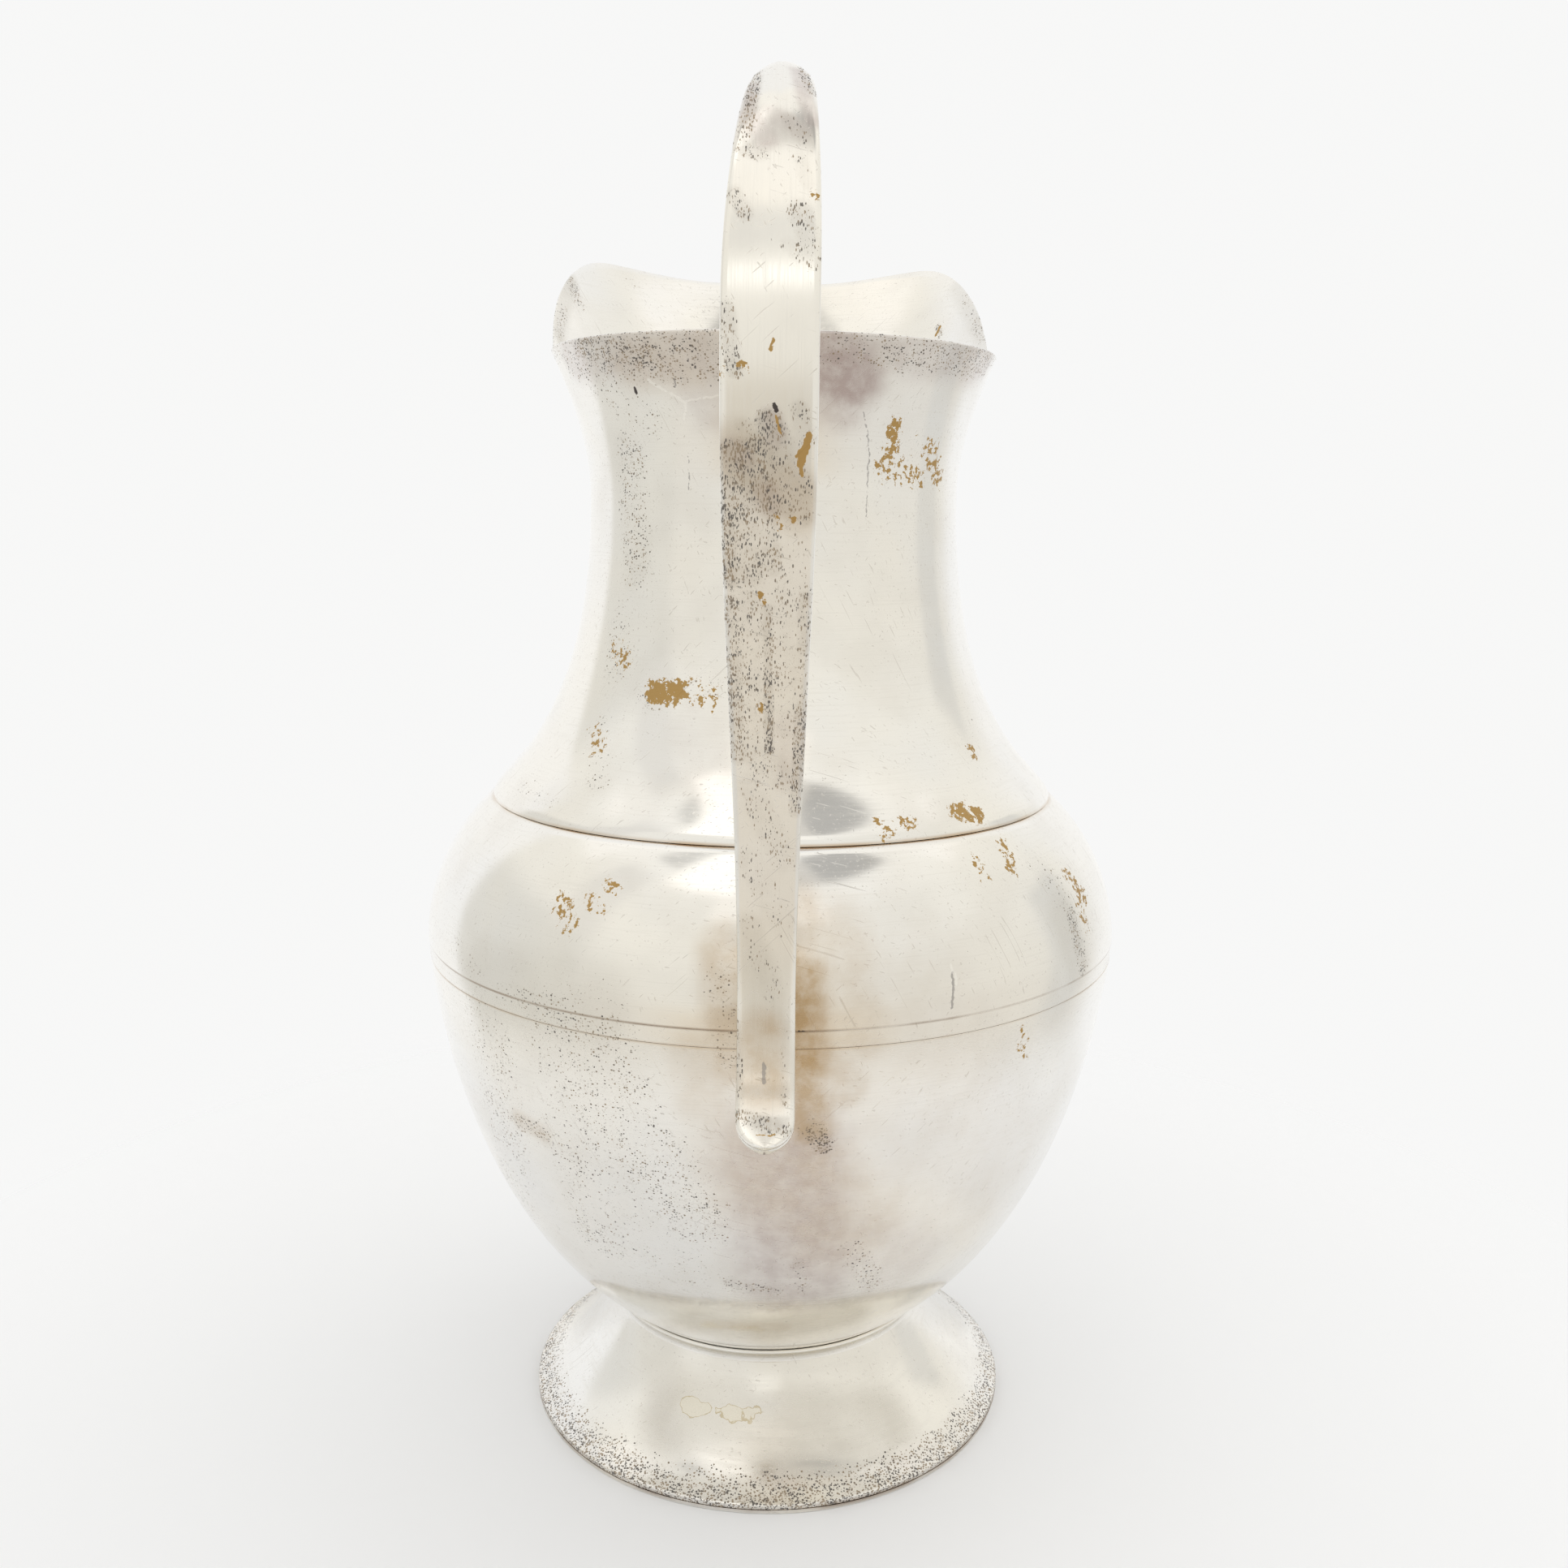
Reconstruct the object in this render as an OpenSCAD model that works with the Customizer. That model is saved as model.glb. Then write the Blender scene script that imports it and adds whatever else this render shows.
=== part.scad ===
// Footed metal ewer with a raised pouring lip and a high looped strap handle.
// Soldered hollowware: turned shells lapped into one another, and a hollow handle of two pressed halves.
// Millimetres. +Z is up, the origin is the centre of the ring that the ewer stands on.
// The handle is at -Y and the pouring lip at +Y.

/* [Foot] */
// Diameter over the foot's lower edge
foot_d = 118.8; // [110:0.2:126]
// Height of the line where the foot meets the bowl
foot_h = 26.6; // [22:0.1:31]
// Diameter of the line where the foot meets the bowl
foot_top_d = 75.4; // [68:0.2:82]
// Height of the turned-down edge at the bottom of the foot
foot_edge_h = 1.2; // [0.8:0.1:2]
// Height of the flat ring under the foot
ring_h = 1; // [0.8:0.1:1.6]
// Width of the flat ring under the foot
ring_w = 4.6; // [3:0.1:7]

/* [Body] */
// Sheet thickness of the turned shells
wall = 1; // [0.8:0.1:1.4]
// Height of the bowl's floor above the table
floor_h = 16; // [12:0.5:19]
// Greatest diameter of the body, at the shoulder's lower edge
belly_d = 165.2; // [152:0.2:178]
// Height of the girdle band's lower edge
band_z = 118; // [110:0.5:126]
// Height of the girdle band
band_h = 3.7; // [2.8:0.1:5]
// Thickness of the girdle band
band_t = 1.2; // [0.9:0.1:1.4]
// How far the shoulder stands proud of the girdle band
band_step = 0.3; // [0.1:0.05:0.4]
// Height of the seam between shoulder and neck
seam_z = 154.5; // [149:0.5:160]
// Diameter of the seam between shoulder and neck
seam_d = 133.2; // [124:0.2:142]
// How far the neck's lower edge stands proud of the shoulder
seam_step = 0.3; // [0.1:0.05:0.5]
// Length of the laps under the seams
lap = 3; // [2:0.1:4]
// Gap that the solder fills between lapped faces
solder_gap = 0.1; // [0.08:0.01:0.14]

/* [Neck and mouth] */
// Least diameter of the neck
throat_d = 85.5; // [78:0.1:94]
// Height of the narrowest part of the neck
throat_z = 224; // [218:0.5:230]
// Height of the rim at the back and the sides
rim_low_z = 255; // [250:0.2:260]
// Height of the rim at the two wings beside the lip
rim_high_z = 282.7; // [272:0.1:288]
// How far the lip dips between the wings
lip_dip = 1.6; // [0:0.1:4]
// How far the lip is pulled out of the round flare
lip_pull = 9; // [0:0.5:14]
// Slope that the mouth's flare tends to, radius over height
flare_slope_share = 0.6; // [0.5:0.02:0.7]
// Softness of the flare's start
flare_soft = 17.5; // [14:0.5:22]
// Turn of the mouth away from the handle, in degrees
mouth_turn = 3.5; // [0:0.5:8]
// How much higher the left wing stands than the middle
rim_skew = 0.4; // [0:0.1:3]

/* [Handle] */
// Overall height, to the top of the handle's loop
apex_z = 297.2; // [290:0.2:304]
// Distance of the loop's top from the axis
apex_y = 76; // [70:0.5:82]
// Greatest reach of the handle from the axis
bow_y = 103; // [97:0.5:110]
// Height of the greatest reach
bow_z = 242; // [234:0.5:250]
// How far the loop's top leans to the right
apex_lean = 1.8; // [0:0.1:3]
// How far the tail's end stands off the body's greatest radius
tail_out = 14.9; // [12:0.1:18]
// Height of the tail's end
tail_z = 104.8; // [100:0.2:108]
// Angle of the flicked tail from straight down, in degrees
tail_flick = 44; // [34:1:54]
// Width of the strap at its greatest reach
bow_w = 16.5; // [14:0.1:19]
// Width of the strap at the top of the loop
apex_w = 10.4; // [9:0.1:12]
// Width of the tail
tail_w = 11.2; // [9.5:0.1:13]
// Width of the end that is soldered to the neck
pad_w = 11; // [9:0.1:13]
// Length of the end that lies on the neck
pad_l = 20; // [16:0.5:24]
// Sheet thickness of the handle's two halves
strap_wall = 0.9; // [0.7:0.1:1]
// Rounding of the face's edges
edge_r = 0.7; // [0.5:0.05:0.9]
// Depth of the face's side below its rounded edge
face_side = 0.6; // [0.5:0.05:1]
// Depth of the back half
back_depth = 2.4; // [2:0.1:3]
// Height of the face's crown along the flat strap
face_crown = 0.25; // [0.1:0.05:0.5]
// Height of the face's crown at the top of the loop
apex_crown = 2.8; // [1.5:0.1:3.4]

/* [Hidden] */
$fn = 96;
silver = [0.82, 0.80, 0.76];
worn_silver = [0.76, 0.73, 0.68];

// Radii that the pieces share
foot_r = foot_d / 2;
seat_r = foot_top_d / 2;
belly_r = belly_d / 2;
band_r = belly_r - band_step;
spigot_r = band_r - band_t - solder_gap;
band_top_z = band_z + band_h;
seam_r = seam_d / 2;
throat_r = throat_d / 2;

// Plain curve tools: cubic curves in radius and height, with their outward normals
function bez(p, t) = pow(1 - t, 3) * p[0] + 3 * pow(1 - t, 2) * t * p[1]
                     + 3 * (1 - t) * t * t * p[2] + pow(t, 3) * p[3];
function bez_slope(p, t) = pow(1 - t, 2) * (p[1] - p[0]) + 2 * (1 - t) * t * (p[2] - p[1])
                           + t * t * (p[3] - p[2]);
function unit(v) = v / norm(v);
function outward(v) = [v[1], -v[0]];
function inset(p, t, depth) = bez(p, t) - depth * unit(outward(bez_slope(p, t)));
function curve(p, steps, depth = 0, from = 0, to = 1) =
    [for (i = [0:steps]) inset(p, from + (to - from) * i / steps, depth)];
function reversed(list) = [for (i = [len(list) - 1:-1:0]) list[i]];
function mix(a, b, t) = a + (b - a) * t;
function smooth(t) = let (c = min(1, max(0, t))) c * c * (3 - 2 * c);
// A cubic curve between two corners, its handles given as shares of the box between them
function boxed(a, b, shares) = [
    a,
    a + [(b[0] - a[0]) * shares[0][0], (b[1] - a[1]) * shares[0][1]],
    a + [(b[0] - a[0]) * shares[1][0], (b[1] - a[1]) * shares[1][1]],
    b
];

// Outlines of the turned shells, each from its lower to its upper end
foot_shares = [[0.57, 0.21], [0.90, 0.72]];
floor_shares = [[0.53, 0], [0.76, 0.40]];
bowl_shares = [[0.75, 0.26], [0.95, 0.76]];
shoulder_shares = [[0, 0.15], [0.09, 0.61]];
neck_shares = [[0.17, 0.10], [1, 0.275]];
seat_at = [seat_r, foot_h];
seam_at = [seam_r, seam_z];
foot_curve = boxed([foot_r, ring_h + foot_edge_h], seat_at, foot_shares);
floor_curve = boxed([0, floor_h], seat_at, floor_shares);
bowl_curve = boxed(seat_at, [band_r, band_z], bowl_shares);
shoulder_curve = boxed([belly_r, band_top_z], seam_at, shoulder_shares);
neck_curve = boxed(seam_at, [throat_r, throat_z], neck_shares);
curve_steps = 20;
lap_steps = 4;
// Share of a curve left out where a shell's inside turns in to its spigot
turn_share = 0.03;
// Share of the bowl's curve that the foot's upper edge lies against
seat_share = 0.02;
// Eased edge of the girdle band, as a share of its thickness
ease_share = 0.15;

// Flat ring that the ewer stands on
module base_ring() {
    color(worn_silver)
        rotate_extrude()
            translate([foot_r - ring_w, 0]) square([ring_w, ring_h]);
}

// Trumpet foot: its lower edge stands on the ring, its upper edge is faced to the bowl's own curve
module foot() {
    seat_line = curve(bowl_curve, 2, -solder_gap, 0, seat_share);
    seat_start = inset(floor_curve, 1 - seat_share, -solder_gap);
    turn_z = foot_h - 2 * wall;
    outside = [for (p = curve(foot_curve, curve_steps)) if (p[1] < turn_z) p];
    inside = [for (p = curve(foot_curve, curve_steps, wall)) if (p[0] < foot_r - wall && p[1] < turn_z) p];
    color(silver)
        rotate_extrude()
            polygon(concat(
                [[foot_r - wall, ring_h], [foot_r, ring_h]],
                outside,
                reversed(seat_line),
                [seat_start],
                reversed(inside)
            ));
}

// Bowl: domed floor, swelling wall, and a spigot that carries the girdle band and enters the shoulder
module bowl() {
    spigot_top = band_top_z + lap;
    outside = concat(
        curve(floor_curve, curve_steps),
        [for (i = [1:curve_steps]) bez(bowl_curve, i / curve_steps)],
        [[spigot_r, band_z], [spigot_r, spigot_top]]
    );
    inside = concat(
        [[spigot_r - wall, spigot_top], [spigot_r - wall, band_z - wall]],
        reversed(curve(bowl_curve, curve_steps, wall, 0, 1 - turn_share)),
        [for (i = [curve_steps - 1:-1:1]) inset(floor_curve, i / curve_steps, wall)],
        [[0, floor_h + wall]]
    );
    color(silver) rotate_extrude() polygon(concat(outside, inside));
}

// Girdle band: a flat ring over the seam, with its edges eased
module girdle_band() {
    inner_r = spigot_r + solder_gap;
    ease = band_t * ease_share;
    low = band_z + solder_gap;
    high = band_top_z - solder_gap;
    color(worn_silver)
        rotate_extrude()
            polygon([
                [inner_r, low], [band_r - ease, low], [band_r, low + ease],
                [band_r, high - ease], [band_r - ease, high], [inner_r, high]
            ]);
}

// Shoulder: stands on the girdle band over the bowl's spigot, and has a spigot of its own under the neck
module shoulder() {
    lap_share = lap / norm(3 * (neck_curve[1] - neck_curve[0]));
    ledge = inset(shoulder_curve, 1, seam_step);
    outside = concat(
        curve(shoulder_curve, curve_steps, 0, 0, 1 - 2 * turn_share),
        [ledge],
        curve(neck_curve, lap_steps, wall + solder_gap, 0, lap_share)
    );
    inside = concat(
        reversed(curve(neck_curve, lap_steps, 2 * wall + solder_gap, 0, lap_share)),
        reversed(curve(shoulder_curve, curve_steps, wall, 0, 1 - 3 * turn_share))
    );
    color(silver)
        difference() {
            rotate_extrude() polygon(concat(outside, inside));
            // Room for the bowl's spigot
            cylinder(r = spigot_r + solder_gap, h = band_top_z + lap + solder_gap);
        }
}

// Mouth: the neck's flare, the rim's rise towards the lip, and the lip's pull
neck_around = 72;
neck_rows = 12;
mouth_rows = 9;
// Angles from the lip's middle: where the rim starts and ends its rise, where the dip is full,
// and where the lip's pull fades out
rise_from = 92.5;
rise_to = 37.5;
dip_to = 12;
lip_half = 60;
function flare(dz) = sqrt(pow(flare_soft, 2) + pow(flare_slope_share * dz, 2)) - flare_soft;
function from_lip(angle) = abs(((angle - 90 - mouth_turn + 540) % 360) - 180);
function rim_z(angle) =
    let (a = from_lip(angle))
    mix(rim_low_z, rim_high_z, smooth((rise_from - a) / (rise_from - rise_to)))
    - lip_dip * smooth((rise_to - a) / (rise_to - dip_to))
    - rim_skew * cos(angle);
function lip_window(angle) =
    let (a = from_lip(angle)) a < lip_half ? (1 + cos(180 * a / lip_half)) / 2 : 0;
function mouth_r(angle, z) =
    throat_r + flare(z - throat_z)
    + lip_pull * lip_window(angle) * pow((z - throat_z) / (rim_high_z - throat_z), 2);
// A point of the neck's outside with the slope there, from the seam up to the rim
mouth_probe_share = 0.001;
function neck_outer(angle, row) =
    row <= neck_rows
        ? bez(neck_curve, row / neck_rows)
        : let (z = mix(throat_z, rim_z(angle), (row - neck_rows) / mouth_rows)) [mouth_r(angle, z), z];
function neck_slope(angle, row) =
    row <= neck_rows
        ? bez_slope(neck_curve, row / neck_rows)
        : let (p = neck_outer(angle, row), probe = throat_z * mouth_probe_share)
          [mouth_r(angle, p[1] + probe) - mouth_r(angle, p[1] - probe), 2 * probe];
function neck_point(angle, row, depth) =
    let (p = neck_outer(angle, row) - depth * unit(outward(neck_slope(angle, row))))
    [p[0] * cos(angle), p[0] * sin(angle), p[1]];
// Triangles of a closed band of rings, each ring with the same count of points
function ring_faces(rings, count) = [
    for (j = [0:rings - 2], i = [0:count - 1])
        let (a = j * count + i, b = j * count + (i + 1) % count, c = b + count, d = a + count)
            each [[a, d, c], [a, c, b]]
];

// Neck and mouth, one raised sheet: up the outside, over the rim and down the inside
module neck() {
    rows = neck_rows + mouth_rows;
    step = 360 / neck_around;
    points = [
        for (row = [0:rows], i = [0:neck_around - 1]) neck_point(i * step, row, 0),
        for (row = [rows:-1:0], i = [0:neck_around - 1]) neck_point(i * step, row, wall)
    ];
    rings = 2 * (rows + 1);
    last = (rings - 1) * neck_around;
    foot_edge = [
        for (i = [0:neck_around - 1])
            let (a = last + i, b = last + (i + 1) % neck_around, c = (i + 1) % neck_around, d = i)
                each [[a, d, c], [a, c, b]]
    ];
    color(silver) polyhedron(points, concat(ring_faces(rings, neck_around), foot_edge), convexity = 6);
}

// Handle: stations along the middle of its face, from the end on the neck, over the loop, to the tail.
// A station is [reach, height, direction, half width, crown, back depth, hollowness].
// Depth of the back half on the neck, as a share of its depth on the strap
pad_depth_share = 0.55;
// Hollowness of the closed ends, as a share of the full hollow
end_hollow_share = 0.3;
// Place of the solder joint along the shoulder's outline
contact_share = 0.25;
// Reach of each curve's handles, as shares of the lengths that the curve spans
rise_shares = [0.58, 0.52];
loop_share = 0.5523;
strap_shares = [0.38, 0.35];
tail_shares = [0.4, 0.3];
// Shares of the loop's fall over which the strap widens and its crown flattens
widen_share = 0.85;
flatten_share = 0.6;
function strap_depth(crown, back) = max(0, crown) + edge_r + face_side + solder_gap + back;
// The end on the neck follows the neck's own flare, a solder gap away
function pad_at(z) = [throat_r + flare(z - throat_z) + solder_gap, z];
function pad_dir(z) = unit(pad_at(z + solder_gap) - pad_at(z - solder_gap));
function pad_crown(z, half) = -pow(half, 2) / (2 * pad_at(z)[0]) * pad_dir(z)[1];
pad_top_z = rim_low_z + wall;
pad_low_z = pad_top_z - pad_l;
pad_top = pad_at(pad_top_z);
apex = [apex_y, apex_z];
bow = [bow_y, bow_z];
contact_dir = -unit(bez_slope(shoulder_curve, contact_share));
contact = bez(shoulder_curve, contact_share)
          - (strap_depth(face_crown, back_depth) + solder_gap) * outward(contact_dir);
tail_dir = [sin(tail_flick), -cos(tail_flick)];
tail_start = [belly_r + tail_out, tail_z] - tail_w / 2 * tail_dir;
leg_l = apex_z - pad_top_z;
strap_l = bow_z - contact[1];
tail_l = norm(tail_start - contact);
rise_curve = [
    pad_top,
    pad_top + leg_l * rise_shares[0] * pad_dir(pad_top_z),
    [mix(apex_y, pad_top[0], 1 - rise_shares[1]), apex_z],
    apex
];
loop_curve = [
    apex,
    [mix(apex_y, bow_y, loop_share), apex_z],
    [bow_y, mix(bow_z, apex_z, loop_share)],
    bow
];
strap_curve = [
    bow,
    bow - [0, strap_l * strap_shares[0]],
    contact - strap_l * strap_shares[1] * contact_dir,
    contact
];
tail_curve = [
    contact,
    contact + tail_l * tail_shares[0] * contact_dir,
    tail_start - tail_l * tail_shares[1] * tail_dir,
    tail_start
];
function on_curve(p, t, half, crown, back = back_depth, hollow = 1) =
    [bez(p, t)[0], bez(p, t)[1], unit(bez_slope(p, t)), half, crown, back, hollow];
function on_pad(z, half, hollow) =
    [pad_at(z)[0], z, pad_dir(z), half, pad_crown(z, half), back_depth * pad_depth_share, hollow];
end_angles = [8, 24, 42, 62, 90];
pad_steps = 5;
rise_steps = 9;
loop_steps = 12;
strap_steps = 14;
tail_steps = 7;
stations = concat(
    [for (a = end_angles) on_pad(pad_low_z + pad_w / 2 * (1 - cos(a)), pad_w / 2 * sin(a), end_hollow_share)],
    [for (i = [1:pad_steps - 1])
        on_pad(mix(pad_low_z + pad_w / 2, pad_top_z, i / pad_steps), pad_w / 2, i == 1 ? end_hollow_share : 1)],
    [for (i = [0:rise_steps - 1])
        let (t = i / rise_steps, turned = smooth(t))
        on_curve(rise_curve, t, mix(pad_w, apex_w, turned) / 2,
                 mix(pad_crown(pad_top_z, pad_w / 2), apex_crown, turned),
                 back_depth * mix(pad_depth_share, 1, turned))],
    [for (i = [0:loop_steps - 1])
        let (t = i / loop_steps)
        on_curve(loop_curve, t, mix(apex_w, bow_w, smooth(t / widen_share)) / 2,
                 mix(apex_crown, face_crown, smooth(t / flatten_share)))],
    [for (i = [0:strap_steps - 1])
        let (t = i / strap_steps)
        on_curve(strap_curve, t, mix(bow_w, tail_w, smooth(t)) / 2, face_crown)],
    [for (i = [0:tail_steps - 1])
        on_curve(tail_curve, i / tail_steps, tail_w / 2, face_crown, back_depth,
                 i < tail_steps - 1 ? 1 : end_hollow_share)],
    [for (a = reversed(end_angles))
        let (p = tail_start + tail_w / 2 * cos(a) * tail_dir)
        [p[0], p[1], tail_dir, tail_w / 2 * sin(a), face_crown, back_depth, end_hollow_share]]
);
// The loop leans a little to the right above its greatest reach
function lean(z) = apex_lean * pow(max(0, (z - bow_z) / (apex_z - bow_z)), 2);
// A point of the strap's section: across is sideways, up is out of the face
function on_strap(s, across, up) =
    [across + lean(s[1]), -(s[0] - up * s[2][1]), s[1] + up * s[2][0]];
function seam_depth(s) = max(0, s[4]) + edge_r + face_side;
function side_wall(s) = min(strap_wall, s[3] / 3);
function edge_round(s) = min(edge_r, s[3] / 3);
function crown_at(s, across) = -s[4] * pow(across / s[3], 2);
function mirrored(half_section) =
    concat(half_section, [for (p = reversed(half_section)) if (p[0] > 0) [-p[0], p[1]]]);
round_share = 0.3;
// Half sections run round one side of the strap, and the other side mirrors them
function face_half(s) =
    let (w = s[3], e = edge_round(s), wl = side_wall(s), seam = -seam_depth(s), edge = crown_at(s, w))
    [
        [0, 0], [w / 2, crown_at(s, w / 2)], [w - e, crown_at(s, w - e)],
        [w - e * round_share, edge - e * round_share], [w, edge - e], [w, seam],
        [w - wl, seam], [w - wl, mix(seam, crown_at(s, w - wl) - strap_wall, s[6])],
        [0, mix(seam, -strap_wall, s[6])]
    ];
function back_half(s) =
    let (w = s[3], wl = side_wall(s), seam = -seam_depth(s) - solder_gap, low = seam - s[5],
         r = min(2 * edge_r, w / 2, s[5] / 2))
    [
        [w - wl, mix(seam, low + strap_wall, s[6])], [w - wl, seam],
        [w, seam], [w, low + r], [w - r * round_share, low + r * round_share], [w - r, low]
    ];
module strap(sections) {
    count = len(sections[0]);
    points = [
        for (j = [0:len(stations) - 1], p = reversed(sections[j]))
            on_strap(stations[j], p[0], p[1])
    ];
    first_cap = [for (i = [0:count - 1]) i];
    last_cap = [for (i = [count - 1:-1:0]) (len(stations) - 1) * count + i];
    polyhedron(points, concat(ring_faces(len(stations), count), [first_cap, last_cap]), convexity = 8);
}

// Outer half of the handle: the face that shows, its edges turned down to the seam
module handle_face() {
    color(silver) strap([for (s = stations) mirrored(face_half(s))]);
}

// Inner half of the handle: the rounded grip that closes the face's hollow
module handle_back() {
    color(worn_silver) strap([for (s = stations) mirrored(back_half(s))]);
}

base_ring();
foot();
bowl();
girdle_band();
shoulder();
neck();
handle_face();
handle_back();
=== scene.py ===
"""Worn silver-plated ewer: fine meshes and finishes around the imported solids, in the same frame."""

import math
import random

import bmesh
import bpy
import numpy as np
from mathutils import Euler, Matrix, Vector
from mathutils.bvhtree import BVHTree


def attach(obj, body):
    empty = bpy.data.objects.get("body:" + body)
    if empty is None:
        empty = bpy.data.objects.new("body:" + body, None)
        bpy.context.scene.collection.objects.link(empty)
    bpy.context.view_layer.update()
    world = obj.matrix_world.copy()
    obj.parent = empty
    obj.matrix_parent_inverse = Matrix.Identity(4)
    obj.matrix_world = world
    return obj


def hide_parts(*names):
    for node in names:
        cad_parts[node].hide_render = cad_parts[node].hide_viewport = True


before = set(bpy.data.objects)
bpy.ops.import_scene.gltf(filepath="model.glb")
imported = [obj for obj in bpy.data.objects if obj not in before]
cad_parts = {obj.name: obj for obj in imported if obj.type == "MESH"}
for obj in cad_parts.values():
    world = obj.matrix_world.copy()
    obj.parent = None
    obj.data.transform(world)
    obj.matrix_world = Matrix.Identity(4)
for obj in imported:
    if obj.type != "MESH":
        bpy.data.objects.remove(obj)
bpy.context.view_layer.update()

# Sizes in millimetres, the same as the solids have
MM = 0.001
FOOT_R = 59.4
FOOT_H = 26.6
FOOT_TOP_R = 37.7
FOOT_EDGE_H = 1.2
RING_H = 1.0
RING_W = 4.6
WALL = 1.0
FLOOR_H = 16.0
BELLY_R = 82.6
BAND_Z = 118.0
BAND_H = 3.7
BAND_T = 1.2
BAND_STEP = 0.3
SEAM_Z = 154.5
SEAM_R = 66.6
SEAM_STEP = 0.3
LAP = 3.0
GAP = 0.1
THROAT_R = 42.75
THROAT_Z = 224.0
RIM_LOW_Z = 255.0
RIM_HIGH_Z = 282.7
LIP_DIP = 1.6
LIP_PULL = 9.0
FLARE_SLOPE = 0.6
FLARE_SOFT = 17.5
MOUTH_TURN = 3.5
RIM_SKEW = 0.4
RISE_FROM, RISE_TO, DIP_TO, LIP_HALF = 92.5, 37.5, 12.0, 60.0
APEX_Z = 297.2
APEX_Y = 76.0
APEX_LEAN = 1.8
BOW_Y = 103.0
BOW_Z = 242.0
TAIL_OUT = 14.9
TAIL_Z = 104.8
TAIL_FLICK = 44.0
BOW_W = 16.5
APEX_W = 10.4
TAIL_W = 11.2
PAD_W = 11.0
PAD_L = 20.0
EDGE_R = 0.7
FACE_SIDE = 0.6
BACK_DEPTH = 2.4
FACE_CROWN = 0.25
APEX_CROWN = 2.8
PAD_DEPTH_SHARE = 0.55
CONTACT_SHARE = 0.25
SEAT_SHARE = 0.02
LOOP_SHARE = 0.5523
WIDEN_SHARE = 0.85
FLATTEN_SHARE = 0.6
# Where the handle's curves leave one end and meet the other, in shares
RISE_LEAVE, RISE_MEET = 0.58, 0.48
STRAP_LEAVE, STRAP_MEET = 0.38, 0.35
TAIL_LEAVE, TAIL_MEET = 0.4, 0.3

# Fine forms that only this script has: the girdle's gaps and the bead at the foot's top
BAND_GAP = 0.05
BEAD_H = 1.15
BEAD_IN = 0.6
BEAD_OUT = 0.8
WAIST_SHARE = 0.7
# Eased corners: number in the outline and radius in millimetres
RING_EASE = {0: 0.4, 1: 0.4}
FOOT_EASE = {1: 0.4, 2: 0.5}
BAND_EASE = {1: 0.1, 2: 0.18}
SHOULDER_EASE = {0: 0.2}
BOWL_EASE = 0.1
# The neck's lower edge, rolled a little: height, length, fade above it, share of the curve
ROLL_H, ROLL_L, ROLL_FADE, ROLL_SHARE = 0.4, 2.2, 16.0, 0.12

# Steps of the meshes, and how far along their curves the shells' walls go
AROUND = 288
FOOT_STEPS, SEAT_STEPS, WAIST_STEPS, BEAD_STEPS = 60, 2, 6, 10
FLOOR_STEPS, BOWL_STEPS, BOWL_INNER_STEPS = 24, 90, 60
SHOULDER_STEPS, SHOULDER_INNER_STEPS, LAP_STEPS = 60, 40, 6
ROLL_ROWS, NECK_ROWS, MOUTH_ROWS, RIM_STEPS = 16, 56, 36, 6
PAD_STEPS, RISE_STEPS, LOOP_STEPS, STRAP_STEPS, TAIL_STEPS = 11, 25, 80, 150, 40
CROWN_POINTS, EDGE_STEPS, GRIP_STEPS = 15, 5, 6
BOWL_INNER_END = 0.97
SHOULDER_END = 0.98
SHOULDER_INNER_END = 0.91
# Angles round the strap's half-round ends, in degrees
END_ANGLES = (4, 10, 18, 27, 37, 48, 60, 75, 90)
# The chamfers of face and back at their common seam
SEAM_IN, SEAM_DOWN = 0.08, 0.1

# Sizes that follow
BAND_R = BELLY_R - BAND_STEP
SPIGOT_R = BAND_R - BAND_T - GAP
BAND_TOP_Z = BAND_Z + BAND_H


# Cubic curves in radius and height, as in the solids
def bez(p, t):
    t = np.asarray(t, float)[..., None]
    near = (1 - t) ** 3 * p[0] + 3 * (1 - t) ** 2 * t * p[1]
    return near + 3 * (1 - t) * t * t * p[2] + t ** 3 * p[3]


def bez_slope(p, t):
    t = np.asarray(t, float)[..., None]
    return (1 - t) ** 2 * (p[1] - p[0]) + 2 * (1 - t) * t * (p[2] - p[1]) + t * t * (p[3] - p[2])


def unit(v):
    v = np.asarray(v, float)
    return v / np.linalg.norm(v, axis=-1, keepdims=True)


def outward(v):
    return np.stack([v[..., 1], -v[..., 0]], axis=-1)


def curve(p, steps, depth=0.0, start=0.0, end=1.0):
    t = np.linspace(start, end, steps + 1)
    return bez(p, t) - depth * unit(outward(bez_slope(p, t)))


def boxed(a, b, shares):
    a, b = np.array(a, float), np.array(b, float)
    return np.array([a, a + (b - a) * shares[0], a + (b - a) * shares[1], b])


def mix(a, b, t):
    return a + (b - a) * t


def open_steps(start, end, steps):
    return np.linspace(start, end, steps, endpoint=False)


def smooth(t):
    c = np.clip(t, 0.0, 1.0)
    return c * c * (3 - 2 * c)


FOOT_CURVE = boxed((FOOT_R, RING_H + FOOT_EDGE_H), (FOOT_TOP_R, FOOT_H), ((0.57, 0.21), (0.90, 0.72)))
FLOOR_CURVE = boxed((0.0, FLOOR_H), (FOOT_TOP_R, FOOT_H), ((0.53, 0.0), (0.76, 0.40)))
BOWL_CURVE = boxed((FOOT_TOP_R, FOOT_H), (BAND_R, BAND_Z), ((0.75, 0.26), (0.95, 0.76)))
SHOULDER_CURVE = boxed((BELLY_R, BAND_TOP_Z), (SEAM_R, SEAM_Z), ((0.0, 0.15), (0.09, 0.61)))
NECK_CURVE = boxed((SEAM_R, SEAM_Z), (THROAT_R, THROAT_Z), ((0.17, 0.10), (1.0, 0.275)))


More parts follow.
